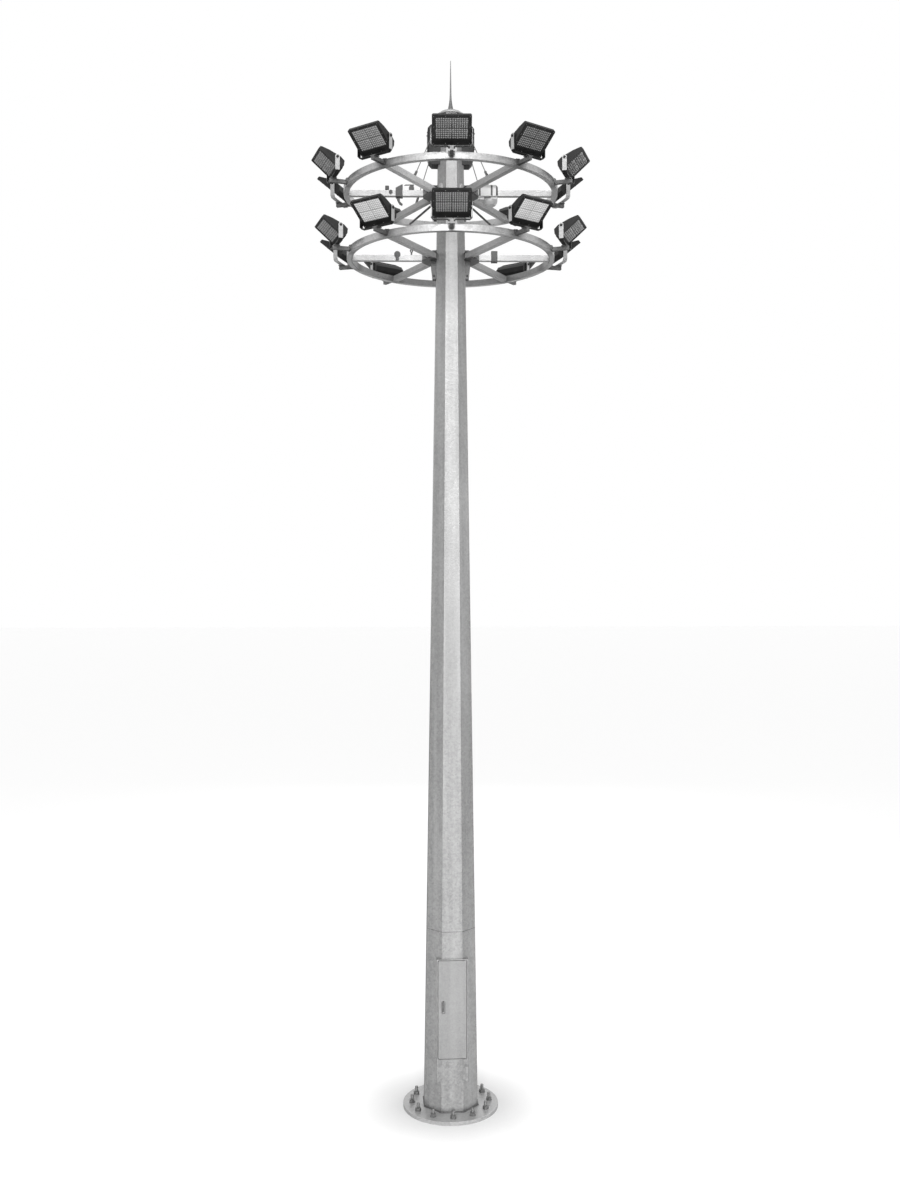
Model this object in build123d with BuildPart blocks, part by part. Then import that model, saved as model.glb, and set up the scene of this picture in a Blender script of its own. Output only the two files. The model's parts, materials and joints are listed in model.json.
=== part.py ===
"""High mast floodlight tower: an eight-sided tapered steel shaft on a round base flange, with a service
door near its foot, two fixed rings of tilting floodlights at its head, and a lightning rod on its cap.

Millimetres, +Z up, the origin at the centre of the base flange's underside, the door on the -Y side.
An azimuth is counted from -Y towards +X. The lantern head (brackets, spokes, rings, arms, yokes, stays,
fittings and floodlights) is built square to the axes and then turned by HEAD_TURN on the shaft.
"""

import os
from math import atan, atan2, cos, degrees, hypot, radians, sin, sqrt

from build123d import *

os.makedirs("parts", exist_ok=True)

# ---------------------------------------------------------------- driving dimensions
TOWER_HEIGHT = 15000  # ground to the tip of the lightning rod
CAP_AND_ROD = 800  # of it, above the shaft's top

# base flange and its anchors
FLANGE_DIAMETER = 1366
FLANGE_THICKNESS = 52
FLANGE_EDGE_CHAMFER = 4
CABLE_HOLE_RADIUS = 250
ANCHOR_COUNT = 12
ANCHOR_CIRCLE = 1110  # diameter of the bolt circle
ANCHOR_HOLE_RADIUS = 24
NUT_FLATS = 72
NUT_HEIGHT = 36
WASHER_RADIUS = 44
WASHER_THICKNESS = 8
STUD_RADIUS = 21
STUD_PROUD = 68  # stud above its nut

# shaft
SHAFT_SIDES = 8
SHAFT_BASE_FLATS = 758  # across flats, on the flange
SHAFT_TOP_FLATS = 345  # across flats, under the cap
SHAFT_TOP_Z = TOWER_HEIGHT - CAP_AND_ROD
SHAFT_WALL = 8
SHAFT_WELD_Z = 2600  # where the door section meets the upper shaft

# service door
DOOR_WIDTH = 400
DOOR_BOTTOM_Z = 815
DOOR_TOP_Z = 2200
DOOR_THICKNESS = 24  # depth of the folded leaf
DOOR_SHEET = 4
DOOR_CORNER = 16
DOOR_GAP = 8  # all round the leaf
FRAME_WALL = 14
FRAME_PROUD = 3  # of the shaft's front face, at the foot of the stiles
FRAME_TUCK = 12  # of the sleeve, past the shaft's inner wall
STILE_BOTTOM_Z = 485  # foot of the stiles, which run on below the leaf
STILE_INNER_X = 150
PIVOT_INSET = 14  # pivot line from the leaf's right edge
PIVOT_SETBACK = 9  # pivot line behind the leaf's front
DOOR_PIN_RADIUS = 5
DOOR_PIN_LENGTH = 12  # past the leaf's end
PIN_CLEARANCE = 0.05
KEEPER_WIDTH = 62  # pivot keeper on the bottom rail
KEEPER_HEIGHT = 118
KEEPER_PROUD = 14

# swing handle in its dish
DISH_X = -130
DISH_Z = 1545
DISH_WIDTH = 62
DISH_HEIGHT = 186
DISH_DEPTH = 19
DISH_WALL = 4
HANDLE_WIDTH = 26
HANDLE_LENGTH = 136
HANDLE_THICKNESS = 13
HANDLE_SETBACK = 1  # handle's front behind the leaf's front
HANDLE_PIN_RADIUS = 4
HANDLE_DROP = 16  # handle's pin below the dish's top end
LOCK_RADIUS = 10
LOCK_HEIGHT = 14

# cap and lightning rod
CAP_OVERHANG = 25  # of the plate, past the shaft's corners
CAP_PLATE_THICKNESS = 12
CAP_DOME_HEIGHT = 74
CAP_DOME_RADIUS = 178
CAP_DOME_TOP_RADIUS = 54
ROD_FOOT_RADIUS = 50
ROD_FOOT_THICKNESS = 10
ROD_CONE_HEIGHT = 235
ROD_CONE_RADIUS = 42
ROD_RADIUS = 12
ROD_TIP_RADIUS = 4

# lantern head
HEAD_TURN = -3.5  # degrees, of the head on the shaft
UPPER_RING_DROP = 1095  # mid-height of each ring below the shaft's top
LOWER_RING_DROP = 2017
UPPER_RING_RADIUS = 1488  # mean radius of each ring
LOWER_RING_RADIUS = 1443
RING_HEIGHT = 88
RING_WIDTH = 78
SPOKE_BAR = 80
SPOKE_WALL = 5
SPOKE_AZIMUTHS = (36, 90, 144)  # right-hand side; the left-hand side mirrors them
SPOKE_ROOT_GAP = 36  # side spoke's end to the shaft's side
SPOKE_ROOT_OFFSET = 122  # diagonal spokes' roots, beside the side spoke's centre line
LIGHT_COUNT = 10  # floodlights on each ring, from azimuth 0

# brackets on the shaft's two sides
SADDLE_THICKNESS = 12
SADDLE_WIDTH = 130
BRACKET_ABOVE = 104  # above the ring's mid-height
BRACKET_BELOW = 310  # below the ring's mid-height
FAN_PLATE = 12
FAN_REACH = 205  # out from the shaft's side
FAN_HALF_WIDTH = 225
CHEEK_PLATE = 10
CHEEK_SPACING = 96  # between the middles of a bracket's two cheeks
HORN_WIDTH = 96  # rounded tops of the cheeks
KNEE_TOP = 88
KNEE_FOOT = 46
KNEE_HOLE_RADIUS = 13

# closed boxes on the shaft's two sides, under the cap
HEAD_BOX_TOP = 150  # below the shaft's top
HEAD_BOX_HEIGHT = 560
HEAD_BOX_REACH = 157  # out from the shaft's side
HEAD_BOX_WIDTH = 210
HEAD_BOX_SHOULDER = 46  # bevel of the upper outer edge
HEAD_BOX_FOOT = (64, 118)  # bevel of the lower outer edge, outwards and up
HEAD_BOX_ROUNDING = 18

# cable hoods on the shaft's two front diagonal faces, over the upper brackets
HOOD_WIDTH = 64
HOOD_HEIGHT = 140
HOOD_PROUD = 32
HOOD_ROUNDING = 14

# arms that carry the yokes
ARM_BAR = 50
ARM_WALL = 4
ARM_SADDLE = 8
ARM_SADDLE_WIDTH = 92
ARM_SADDLE_ROUND_Z = 12  # centre of the saddle's round foot, above the ring's mid-height
ARM_LIP = 55
ARM_DROP = 16  # top of the bar below the ring's top
ARM_GUSSET_REACH = 120
YOKE_REACH = 190  # ring's outer face to the yoke's centre
YOKE_PAD = 92
YOKE_PAD_THICKNESS = 10

# floodlight
LIGHT_WIDTH = 510
LIGHT_HEIGHT = 406
LIGHT_TILT = 50  # degrees that the face looks below the horizon
BEZEL_DEPTH = 44
BEZEL_CORNER = 14
BODY_INSET = 9  # body behind the bezel, each side
BODY_OUTLINE = ((8, 78), (44, 132), (120, 138), (292, 92), (396, 50))  # height up the face, depth behind it
PIVOT_HEIGHT = 150  # pivot up from the face's lower edge
PIVOT_DEPTH = 94  # pivot behind the face
GAP_COUNT = 11
FIN_THICKNESS = 7
FIN_DEPTH = 44
FIN_FOOT = 156  # height up the face where the fins begin
BODY_CHEEK = 16  # closed cheek outside the outermost gap
WINDOW_WIDTH = 418
WINDOW_HEIGHT = 290
WINDOW_FROM_TOP = 34
WINDOW_DEPTH = 10
MODULE_GAP = 9
MODULE_THICKNESS = 6
BOSS_RADIUS = 26
PIVOT_PIN_RADIUS = 9
PIVOT_HEAD_RADIUS = 20
PIVOT_HEAD_THICKNESS = 9
PIVOT_HEAD_GAP = 0.5

# yoke
YOKE_GAP = 8  # bezel's side to the yoke's arm
YOKE_SHEET = 8
YOKE_WIDTH = 62
YOKE_RISE = 200  # top of the yoke's bar to the pivot
YOKE_EAR = 34  # arm above the pivot
YOKE_BEND = 30  # bevel of the two lower corners
YOKE_BOLT_RADIUS = 11
YOKE_BOLT_HEIGHT = 10
YOKE_BOLT_SPACING = 46

# stays
STAY_RADIUS = 6
STAY_TOP_INSET = 4  # upper pins from the cap plate's edge
STAY_FOOT_RADIUS = 760  # distance of the lower pins from the shaft's axis
LUG_THICKNESS = 10
LUG_WIDTH = 44
LUG_HEIGHT = 48
LUG_PIN_HEIGHT = 28  # pin to the face that the lug is welded to
LUG_ROUNDING = 16
STAY_PIN_RADIUS = 6
FORK_WALL = 8
FORK_WIDTH = 24
FORK_PAST_PIN = 13
FORK_LENGTH = 72  # from the pin to the rod
FORK_SLOT = 36  # from the pin to the end of the slot

# gear case on the upper right-hand spoke; places along a spoke are distances from its bracket's end
CASE_START = 10
CASE_LENGTH = 270
CASE_RADIUS = 78
CASE_RISE = 48  # centre of the case's arch above the spoke's mid-height
CASE_END_CHAMFER = 26
CASE_TRAY = 12
CASE_STRAPS = (10, 180, 258)  # starts of the straps round the case
CASE_STRAP_WIDTH = 20
CASE_STRAP_PROUD = 5
CASE_KNOB_X = 127
CASE_KNOB_RADIUS = 22
CASE_KNOB_PROUD = 17
CASE_LUGS = ((18, 66), (180, 84))  # starts and lengths of the two blocks under the tray
CASE_LUG_HEIGHT = 43
CASE_LUG_WIDTH = 88
BOWL_X = 172
BOWL_RADIUS = 107
BOWL_DEPTH = 92

# fittings on the other side spokes
POST_X = 515
POST_RADIUS = 14
POST_STEM = 14
POST_HEAD = 54
DISC_RADIUS = 26
DISC_THICKNESS = 18
WEDGE_START = 292
WEDGE_LENGTH = 100
WEDGE_HEIGHT = 86  # above the spoke
WEDGE_WIDTH = 60
WEDGE_PLATE = 12
WEDGE_TAIL = 120  # below the spoke
PULLEY_X = 166
PULLEY_RADIUS = 38
PULLEY_THICKNESS = 30
CLAMP_START = 173
CLAMP_LENGTH = 90
CLAMP_WALL = 14
CLAMP_TOP = 56  # above the spoke
REEL_X = 354
REEL_RADIUS = 45
REEL_RISE = 45
STEM_X = 153
STEM_HEIGHT = 66
STEM_HEAD_RADIUS = 23

# braces behind the upper ring's rear spokes
BRACE_RADIUS = 16
BRACE_AZIMUTH = 155
BRACE_ROOT = (33, 165)  # from the shaft's side, and behind the axis
BRACE_DROP = SPOKE_BAR * 7 / 8  # under the spokes' mid-height at its root
BRACE_FOOT_DROP = 28


UPPER_RING_Z = SHAFT_TOP_Z - UPPER_RING_DROP
LOWER_RING_Z = SHAFT_TOP_Z - LOWER_RING_DROP
CAP_PLATE_RADIUS = SHAFT_TOP_FLATS / 2 / cos(radians(22.5)) + CAP_OVERHANG
STAY_TOP_RADIUS = CAP_PLATE_RADIUS - STAY_TOP_INSET


# ---------------------------------------------------------------- helpers
def flats_at(z):
    """The shaft's size across flats at height z."""
    share = (z - FLANGE_THICKNESS) / (SHAFT_TOP_Z - FLANGE_THICKNESS)
    return SHAFT_BASE_FLATS + share * (SHAFT_TOP_FLATS - SHAFT_BASE_FLATS)


def shaft_block(bottom, top, inset=0):
    """The solid between two heights inside the shaft's outer faces, or inset from them."""
    lean = degrees(atan((flats_at(bottom) - flats_at(top)) / 2 / (top - bottom)))
    with BuildPart() as block:
        with BuildSketch(Plane.XY.offset(bottom)):
            RegularPolygon(flats_at(bottom) / 2 - inset, SHAFT_SIDES, major_radius=False, rotation=22.5)
        extrude(amount=top - bottom, taper=lean)
    return block.part


def write(part, name):
    """Labels a finished piece and writes its STEP file."""
    part.label = name
    export_step(part, f"parts/{name}.step")


def write_solids(solids, name):
    """Writes several separate solids as one node."""
    write(Compound(children=list(solids)), name)


def write_copies(part, places, name):
    """Writes copies of one piece, at these places, as one node."""
    write_solids([copy_at(part, place) for place in places], name)


def copy_at(part, place):
    """A copy of a piece's solid, moved to a place."""
    return part.solid().moved(place)


def on_azimuth(azimuth, radius=0, z=0):
    """The place at this azimuth, with its local -Y pointing outwards."""
    return Rot(0, 0, azimuth) * Pos(0, -radius, z)


def spoke_line(z, radius, azimuth):
    """The start, heading and length of one right-hand spoke's centre line."""
    root_x = flats_at(z) / 2 + SPOKE_ROOT_GAP
    root_y = -SPOKE_ROOT_OFFSET * (azimuth < 90) + SPOKE_ROOT_OFFSET * (azimuth > 90)
    end_x = radius * sin(radians(azimuth))
    end_y = -radius * cos(radians(azimuth))
    length = hypot(end_x - root_x, end_y - root_y)
    return root_x, root_y, degrees(atan2(end_y - root_y, end_x - root_x)), length


def stay_azimuths(z, radius):
    """The azimuths at which the diagonal spokes' centre lines pass the stays' feet, and so the stays'."""
    found = []
    for azimuth in SPOKE_AZIMUTHS[::2]:
        x, y, heading, _ = spoke_line(z, radius, azimuth)
        # distance along the spoke at which it is STAY_FOOT_RADIUS from the axis
        along = -(x * cos(radians(heading)) + y * sin(radians(heading)))
        closest = hypot(x + along * cos(radians(heading)), y + along * sin(radians(heading)))
        along += sqrt(STAY_FOOT_RADIUS**2 - closest**2)
        foot_x = x + along * cos(radians(heading))
        foot_y = y + along * sin(radians(heading))
        at = degrees(atan2(foot_x, -foot_y))
        found += [HEAD_TURN + at, HEAD_TURN - at]
    return found


HEAD = Rot(0, 0, HEAD_TURN)
LIGHT_AZIMUTHS = [HEAD_TURN + index * 360 / LIGHT_COUNT for index in range(LIGHT_COUNT)]

# ---------------------------------------------------------------- base
with BuildPart() as base_flange:
    with BuildSketch():
        Circle(FLANGE_DIAMETER / 2)
        Circle(CABLE_HOLE_RADIUS, mode=Mode.SUBTRACT)
        with PolarLocations(ANCHOR_CIRCLE / 2, ANCHOR_COUNT, start_angle=-90):
            Circle(ANCHOR_HOLE_RADIUS, mode=Mode.SUBTRACT)
    extrude(amount=FLANGE_THICKNESS)
    rim = base_flange.faces().sort_by(Axis.Z)[-1].outer_wire().edges()
    chamfer(rim, FLANGE_EDGE_CHAMFER)
write(base_flange.part, "base_flange")

with BuildPart() as anchor_nut:
    with BuildSketch():
        Circle(WASHER_RADIUS)
    extrude(amount=WASHER_THICKNESS)
    with BuildSketch(Plane.XY.offset(WASHER_THICKNESS)):
        RegularPolygon(NUT_FLATS / 2, 6, major_radius=False)
    extrude(amount=NUT_HEIGHT)
    with BuildSketch(Plane.XY.offset(WASHER_THICKNESS + NUT_HEIGHT)):
        Circle(STUD_RADIUS)
    extrude(amount=STUD_PROUD)
anchor_places = [
    on_azimuth(index * 360 / ANCHOR_COUNT, ANCHOR_CIRCLE / 2, FLANGE_THICKNESS)
    for index in range(ANCHOR_COUNT)
]
write_copies(anchor_nut.part, anchor_places, "anchor_nuts")

# ---------------------------------------------------------------- door opening and shaft
leaf_half = DOOR_WIDTH / 2
leaf_height = DOOR_TOP_Z - DOOR_BOTTOM_Z
sleeve_inner_half = leaf_half + DOOR_GAP
sleeve_outer_half = sleeve_inner_half + FRAME_WALL
sleeve_bottom = DOOR_BOTTOM_Z - DOOR_GAP - FRAME_WALL
sleeve_top = DOOR_TOP_Z + DOOR_GAP + FRAME_WALL
sleeve_height = sleeve_top - sleeve_bottom
frame_front = flats_at(STILE_BOTTOM_Z) / 2 + FRAME_PROUD
# where the sleeve's side meets the sloping faces at the narrower end of the doorway
frame_back = sqrt(2) * (flats_at(sleeve_top) / 2 - SHAFT_WALL) - sleeve_outer_half - FRAME_TUCK
# sketches on this plane have X to the right and Y up, as seen by someone who faces the door
door_middle = (DOOR_BOTTOM_Z + DOOR_TOP_Z) / 2
DOOR_PLANE = Plane(origin=(0, -frame_front, door_middle), x_dir=(1, 0, 0), z_dir=(0, -1, 0))

with BuildPart() as shaft_lower:
    add(shaft_block(FLANGE_THICKNESS, SHAFT_WELD_Z))
    add(shaft_block(FLANGE_THICKNESS, SHAFT_WELD_Z, SHAFT_WALL), mode=Mode.SUBTRACT)
    with BuildSketch(DOOR_PLANE):
        Rectangle(2 * sleeve_outer_half, sleeve_height)
    extrude(amount=-frame_front, mode=Mode.SUBTRACT)
write(shaft_lower.part, "shaft_lower")

with BuildPart() as shaft_upper:
    add(shaft_block(SHAFT_WELD_Z, SHAFT_TOP_Z))
    add(shaft_block(SHAFT_WELD_Z, SHAFT_TOP_Z, SHAFT_WALL), mode=Mode.SUBTRACT)
write(shaft_upper.part, "shaft_upper")

# ---------------------------------------------------------------- door frame
pivot_x = leaf_half - PIVOT_INSET
pivot_y = -(frame_front - PIVOT_SETBACK)
keeper_x = sleeve_outer_half - KEEPER_WIDTH / 2
keeper_top = DOOR_BOTTOM_Z - DOOR_GAP

with BuildPart() as door_frame:
    with BuildSketch(DOOR_PLANE):
        Rectangle(2 * sleeve_outer_half, sleeve_height)
    extrude(amount=-(frame_front - frame_back))
    # stiles that run on below the leaf, down the edges of the shaft's front face
    with BuildSketch(Plane.XY.offset(STILE_BOTTOM_Z)):
        for side in (-1, 1):
            with Locations((side * (sleeve_outer_half + STILE_INNER_X) / 2, -(frame_front + frame_back) / 2)):
                Rectangle(sleeve_outer_half - STILE_INNER_X, frame_front - frame_back)
    extrude(amount=sleeve_bottom - STILE_BOTTOM_Z)
    add(shaft_block(FLANGE_THICKNESS, sleeve_bottom), mode=Mode.SUBTRACT)
    with BuildSketch(DOOR_PLANE):
        RectangleRounded(2 * sleeve_inner_half, leaf_height + 2 * DOOR_GAP, DOOR_CORNER + DOOR_GAP)
    extrude(amount=-frame_front, mode=Mode.SUBTRACT)
    # pivot keeper on the bottom rail
    with BuildSketch(Plane.YZ.offset(keeper_x - KEEPER_WIDTH / 2)):
        with BuildLine():
            Polyline(
                (-frame_front, keeper_top),
                (-frame_front - KEEPER_PROUD, keeper_top),
                (-frame_front - KEEPER_PROUD, keeper_top - KEEPER_HEIGHT * 0.6),
                (-frame_front, keeper_top - KEEPER_HEIGHT),
                close=True,
            )
        make_face()
    extrude(amount=KEEPER_WIDTH)
    # bores for the leaf's pivot pins, in both rails
    with BuildSketch(Plane.XY.offset(DOOR_BOTTOM_Z - DOOR_PIN_LENGTH - 1)):
        with Locations((pivot_x, pivot_y)):
            Circle(DOOR_PIN_RADIUS + PIN_CLEARANCE)
    extrude(amount=leaf_height + 2 * DOOR_PIN_LENGTH + 2, mode=Mode.SUBTRACT)
write(door_frame.part, "door_frame")

# ---------------------------------------------------------------- door leaf and its swing handle
DISH_PLANE = Plane(origin=(DISH_X, -frame_front, DISH_Z), x_dir=(1, 0, 0), z_dir=(0, -1, 0))
handle_pin_z = DISH_HEIGHT / 2 - HANDLE_DROP  # on the dish's plane
handle_pin_depth = HANDLE_SETBACK + HANDLE_THICKNESS / 2
handle_round = HANDLE_THICKNESS / 2

with BuildPart() as door_leaf:
    with BuildSketch(DOOR_PLANE):
        RectangleRounded(DOOR_WIDTH, leaf_height, DOOR_CORNER)
    extrude(amount=-DOOR_THICKNESS)
    with BuildSketch(DOOR_PLANE.offset(-DOOR_SHEET)):
        RectangleRounded(DOOR_WIDTH - 2 * DOOR_SHEET, leaf_height - 2 * DOOR_SHEET, DOOR_CORNER - DOOR_SHEET)
    extrude(amount=-DOOR_THICKNESS, mode=Mode.SUBTRACT)
    # the dish
    with BuildSketch(DISH_PLANE):
        SlotOverall(DISH_HEIGHT + 2 * DISH_WALL, DISH_WIDTH + 2 * DISH_WALL, rotation=90)
    extrude(amount=-DISH_DEPTH - DISH_WALL)
    with BuildSketch(DISH_PLANE):
        SlotOverall(DISH_HEIGHT, DISH_WIDTH, rotation=90)
    extrude(amount=-DISH_DEPTH, mode=Mode.SUBTRACT)
    # ears for the handle's pin, and the lock below the handle
    with BuildSketch(DISH_PLANE.offset(-DISH_DEPTH)):
        with Locations((-HANDLE_WIDTH / 2 - 5, handle_pin_z), (HANDLE_WIDTH / 2 + 5, handle_pin_z)):
            Rectangle(8, 16)
    extrude(amount=DISH_DEPTH - HANDLE_SETBACK)
    with BuildSketch(DISH_PLANE.offset(-DISH_DEPTH)):
        with Locations((0, -DISH_HEIGHT / 2 + LOCK_RADIUS + 5)):
            Circle(LOCK_RADIUS)
    extrude(amount=LOCK_HEIGHT)
    with BuildSketch(Plane.YZ.offset(DISH_X - DISH_WIDTH / 2)):
        with Locations((-frame_front + handle_pin_depth, DISH_Z + handle_pin_z)):
            Circle(HANDLE_PIN_RADIUS + PIN_CLEARANCE)
    extrude(amount=DISH_WIDTH, mode=Mode.SUBTRACT)
    # pivot blocks and pins at the hinge side
    for end, sense in ((DOOR_BOTTOM_Z, 1), (DOOR_TOP_Z, -1)):
        with BuildSketch(Plane.XY.offset(end + sense * DOOR_SHEET / 2)):
            with Locations((pivot_x, pivot_y)):
                Rectangle(18, 12)
        extrude(amount=sense * 40)
        with BuildSketch(Plane.XY.offset(end)):
            with Locations((pivot_x, pivot_y)):
                Circle(DOOR_PIN_RADIUS)
        extrude(amount=-sense * DOOR_PIN_LENGTH)
write(door_leaf.part, "door_leaf")

with BuildPart() as door_handle:
    with BuildSketch(Plane.YZ.offset(DISH_X)):
        with BuildLine():
            # the handle's side outline: round at the pin, a thumb lip at the foot
            y_front = -frame_front + HANDLE_SETBACK
            y_back = y_front + HANDLE_THICKNESS
            z_pin = DISH_Z + handle_pin_z
            z_foot = z_pin - HANDLE_LENGTH + handle_round
            Polyline((y_front, z_pin), (y_front, z_foot), (y_front + 5, z_foot - 9), (y_back - 3, z_foot - 9))
            Polyline((y_back - 3, z_foot - 9), (y_back - 3, z_pin - 46), (y_back, z_pin - 34), (y_back, z_pin))
            RadiusArc((y_back, z_pin), (y_front, z_pin), -handle_round)
        make_face()
    extrude(amount=HANDLE_WIDTH / 2, both=True)
    with BuildSketch(Plane.YZ.offset(DISH_X)):
        with Locations((-frame_front + handle_pin_depth, z_pin)):
            Circle(HANDLE_PIN_RADIUS)
    extrude(amount=HANDLE_WIDTH / 2 + 7, both=True)
write(door_handle.part, "door_handle")

# ---------------------------------------------------------------- cap and lightning rod
dome_z = SHAFT_TOP_Z + CAP_PLATE_THICKNESS
rod_z = dome_z + CAP_DOME_HEIGHT
stay_places = stay_azimuths(UPPER_RING_Z, UPPER_RING_RADIUS)

with BuildPart() as shaft_cap:
    with BuildSketch(Plane.XY.offset(SHAFT_TOP_Z)):
        Circle(CAP_PLATE_RADIUS)
    extrude(amount=CAP_PLATE_THICKNESS)
    with BuildSketch(Plane.XZ):
        with BuildLine():
            Polyline(
                (0, dome_z),
                (CAP_DOME_RADIUS, dome_z),
                (CAP_DOME_RADIUS, dome_z + CAP_DOME_HEIGHT * 0.15),
                (CAP_DOME_RADIUS * 0.86, dome_z + CAP_DOME_HEIGHT * 0.55),
                (CAP_DOME_RADIUS * 0.6, dome_z + CAP_DOME_HEIGHT * 0.86),
                (CAP_DOME_TOP_RADIUS, rod_z),
                (0, rod_z),
                close=True,
            )
        make_face()
    revolve(axis=Axis.Z)
    for azimuth in stay_places:
        with BuildSketch(Plane(on_azimuth(azimuth, STAY_TOP_RADIUS, SHAFT_TOP_Z) * Rot(0, 90, 0))):
            with Locations((LUG_HEIGHT / 2, 0)):
                Rectangle(LUG_HEIGHT, 2 * LUG_WIDTH)
            with Locations((LUG_PIN_HEIGHT, 0)):
                Circle(STAY_PIN_RADIUS, mode=Mode.SUBTRACT)
        extrude(amount=LUG_THICKNESS / 2, both=True)
    with BuildSketch(Plane.XY.offset(SHAFT_TOP_Z - LUG_HEIGHT)):
        Circle(2 * CAP_PLATE_RADIUS)
        Circle(STAY_TOP_RADIUS + LUG_WIDTH / 2, mode=Mode.SUBTRACT)
    extrude(amount=LUG_HEIGHT, mode=Mode.SUBTRACT)
    add(shaft_block(SHAFT_TOP_Z - 2 * LUG_HEIGHT, SHAFT_TOP_Z), mode=Mode.SUBTRACT)
write(shaft_cap.part, "shaft_cap")

with BuildPart() as lightning_rod:
    with BuildSketch(Plane.XZ):
        cone_z = rod_z + ROD_FOOT_THICKNESS
        with BuildLine():
            Polyline(
                (0, rod_z),
                (ROD_FOOT_RADIUS, rod_z),
                (ROD_FOOT_RADIUS, cone_z),
                (ROD_CONE_RADIUS, cone_z),
                ((ROD_CONE_RADIUS + ROD_RADIUS) / 2, cone_z + ROD_CONE_HEIGHT * 0.3),
                (ROD_RADIUS + 4, cone_z + ROD_CONE_HEIGHT * 0.62),
                (ROD_RADIUS, cone_z + ROD_CONE_HEIGHT),
                (ROD_TIP_RADIUS, TOWER_HEIGHT),
                (0, TOWER_HEIGHT),
                close=True,
            )
        make_face()
    revolve(axis=Axis.Z)
write(lightning_rod.part, "lightning_rod")

# ---------------------------------------------------------------- head boxes
box_top = SHAFT_TOP_Z - HEAD_BOX_TOP
box_foot = box_top - HEAD_BOX_HEIGHT
box_end = flats_at(box_top) / 2 + HEAD_BOX_REACH
foot_in, foot_up = HEAD_BOX_FOOT

with BuildPart() as head_box:
    with BuildSketch(Plane.XZ):
        with BuildLine():
            Polyline(
                (0, box_foot),
                (box_end - foot_in, box_foot),
                (box_end - foot_in * 0.3, box_foot + foot_up * 0.4),
                (box_end, box_foot + foot_up),
                (box_end, box_top - HEAD_BOX_SHOULDER),
                (box_end - HEAD_BOX_SHOULDER, box_top),
                (0, box_top),
                close=True,
            )
        make_face()
    extrude(amount=HEAD_BOX_WIDTH / 2, both=True)
    long_edges = head_box.edges().filter_by(Axis.Z).group_by(Axis.X)[-1]
    chamfer(long_edges, HEAD_BOX_ROUNDING)
    add(shaft_block(box_foot - HEAD_BOX_WIDTH, SHAFT_TOP_Z), mode=Mode.SUBTRACT)
write_copies(head_box.part, [Rot(0, 0, turn) for turn in (0, 180)], "head_boxes")

# ---------------------------------------------------------------- cable hoods
hood_z = UPPER_RING_Z + BRACKET_ABOVE - HOOD_HEIGHT
hoods = []
for side in (-45, 45):
    with BuildPart() as hood:
        hood_reach = flats_at(hood_z) / 2 + HOOD_PROUD
        with BuildSketch(Plane(on_azimuth(side, hood_reach, hood_z) * Rot(90, 0, 0))):
            with Locations((0, (HOOD_HEIGHT - HOOD_WIDTH / 2) / 2)):
                Rectangle(HOOD_WIDTH, HOOD_HEIGHT - HOOD_WIDTH / 2)
            with Locations((0, HOOD_HEIGHT - HOOD_WIDTH / 2)):
                Circle(HOOD_WIDTH / 2)
        extrude(amount=-hood_reach / 2)
        front = hood.faces().sort_by(Axis(origin=(0, 0, 0), direction=(sin(radians(side)), -cos(radians(side)), 0)))
        fillet(front[-1].edges(), HOOD_ROUNDING)
        add(shaft_block(hood_z - HOOD_HEIGHT, hood_z + 2 * HOOD_HEIGHT), mode=Mode.SUBTRACT)
    hoods.append(hood.part.solid())
write_solids(hoods, "cable_hoods")


# ---------------------------------------------------------------- one lantern ring, twice
def ring_bar(z, radius):
    """The rolled bar of one ring."""
    with BuildPart() as ring:
        with BuildSketch(Plane.XY.offset(z - RING_HEIGHT / 2)):
            Circle(radius + RING_WIDTH / 2)
            Circle(radius - RING_WIDTH / 2, mode=Mode.SUBTRACT)
        extrude(amount=RING_HEIGHT)
    return HEAD * ring.part


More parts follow.
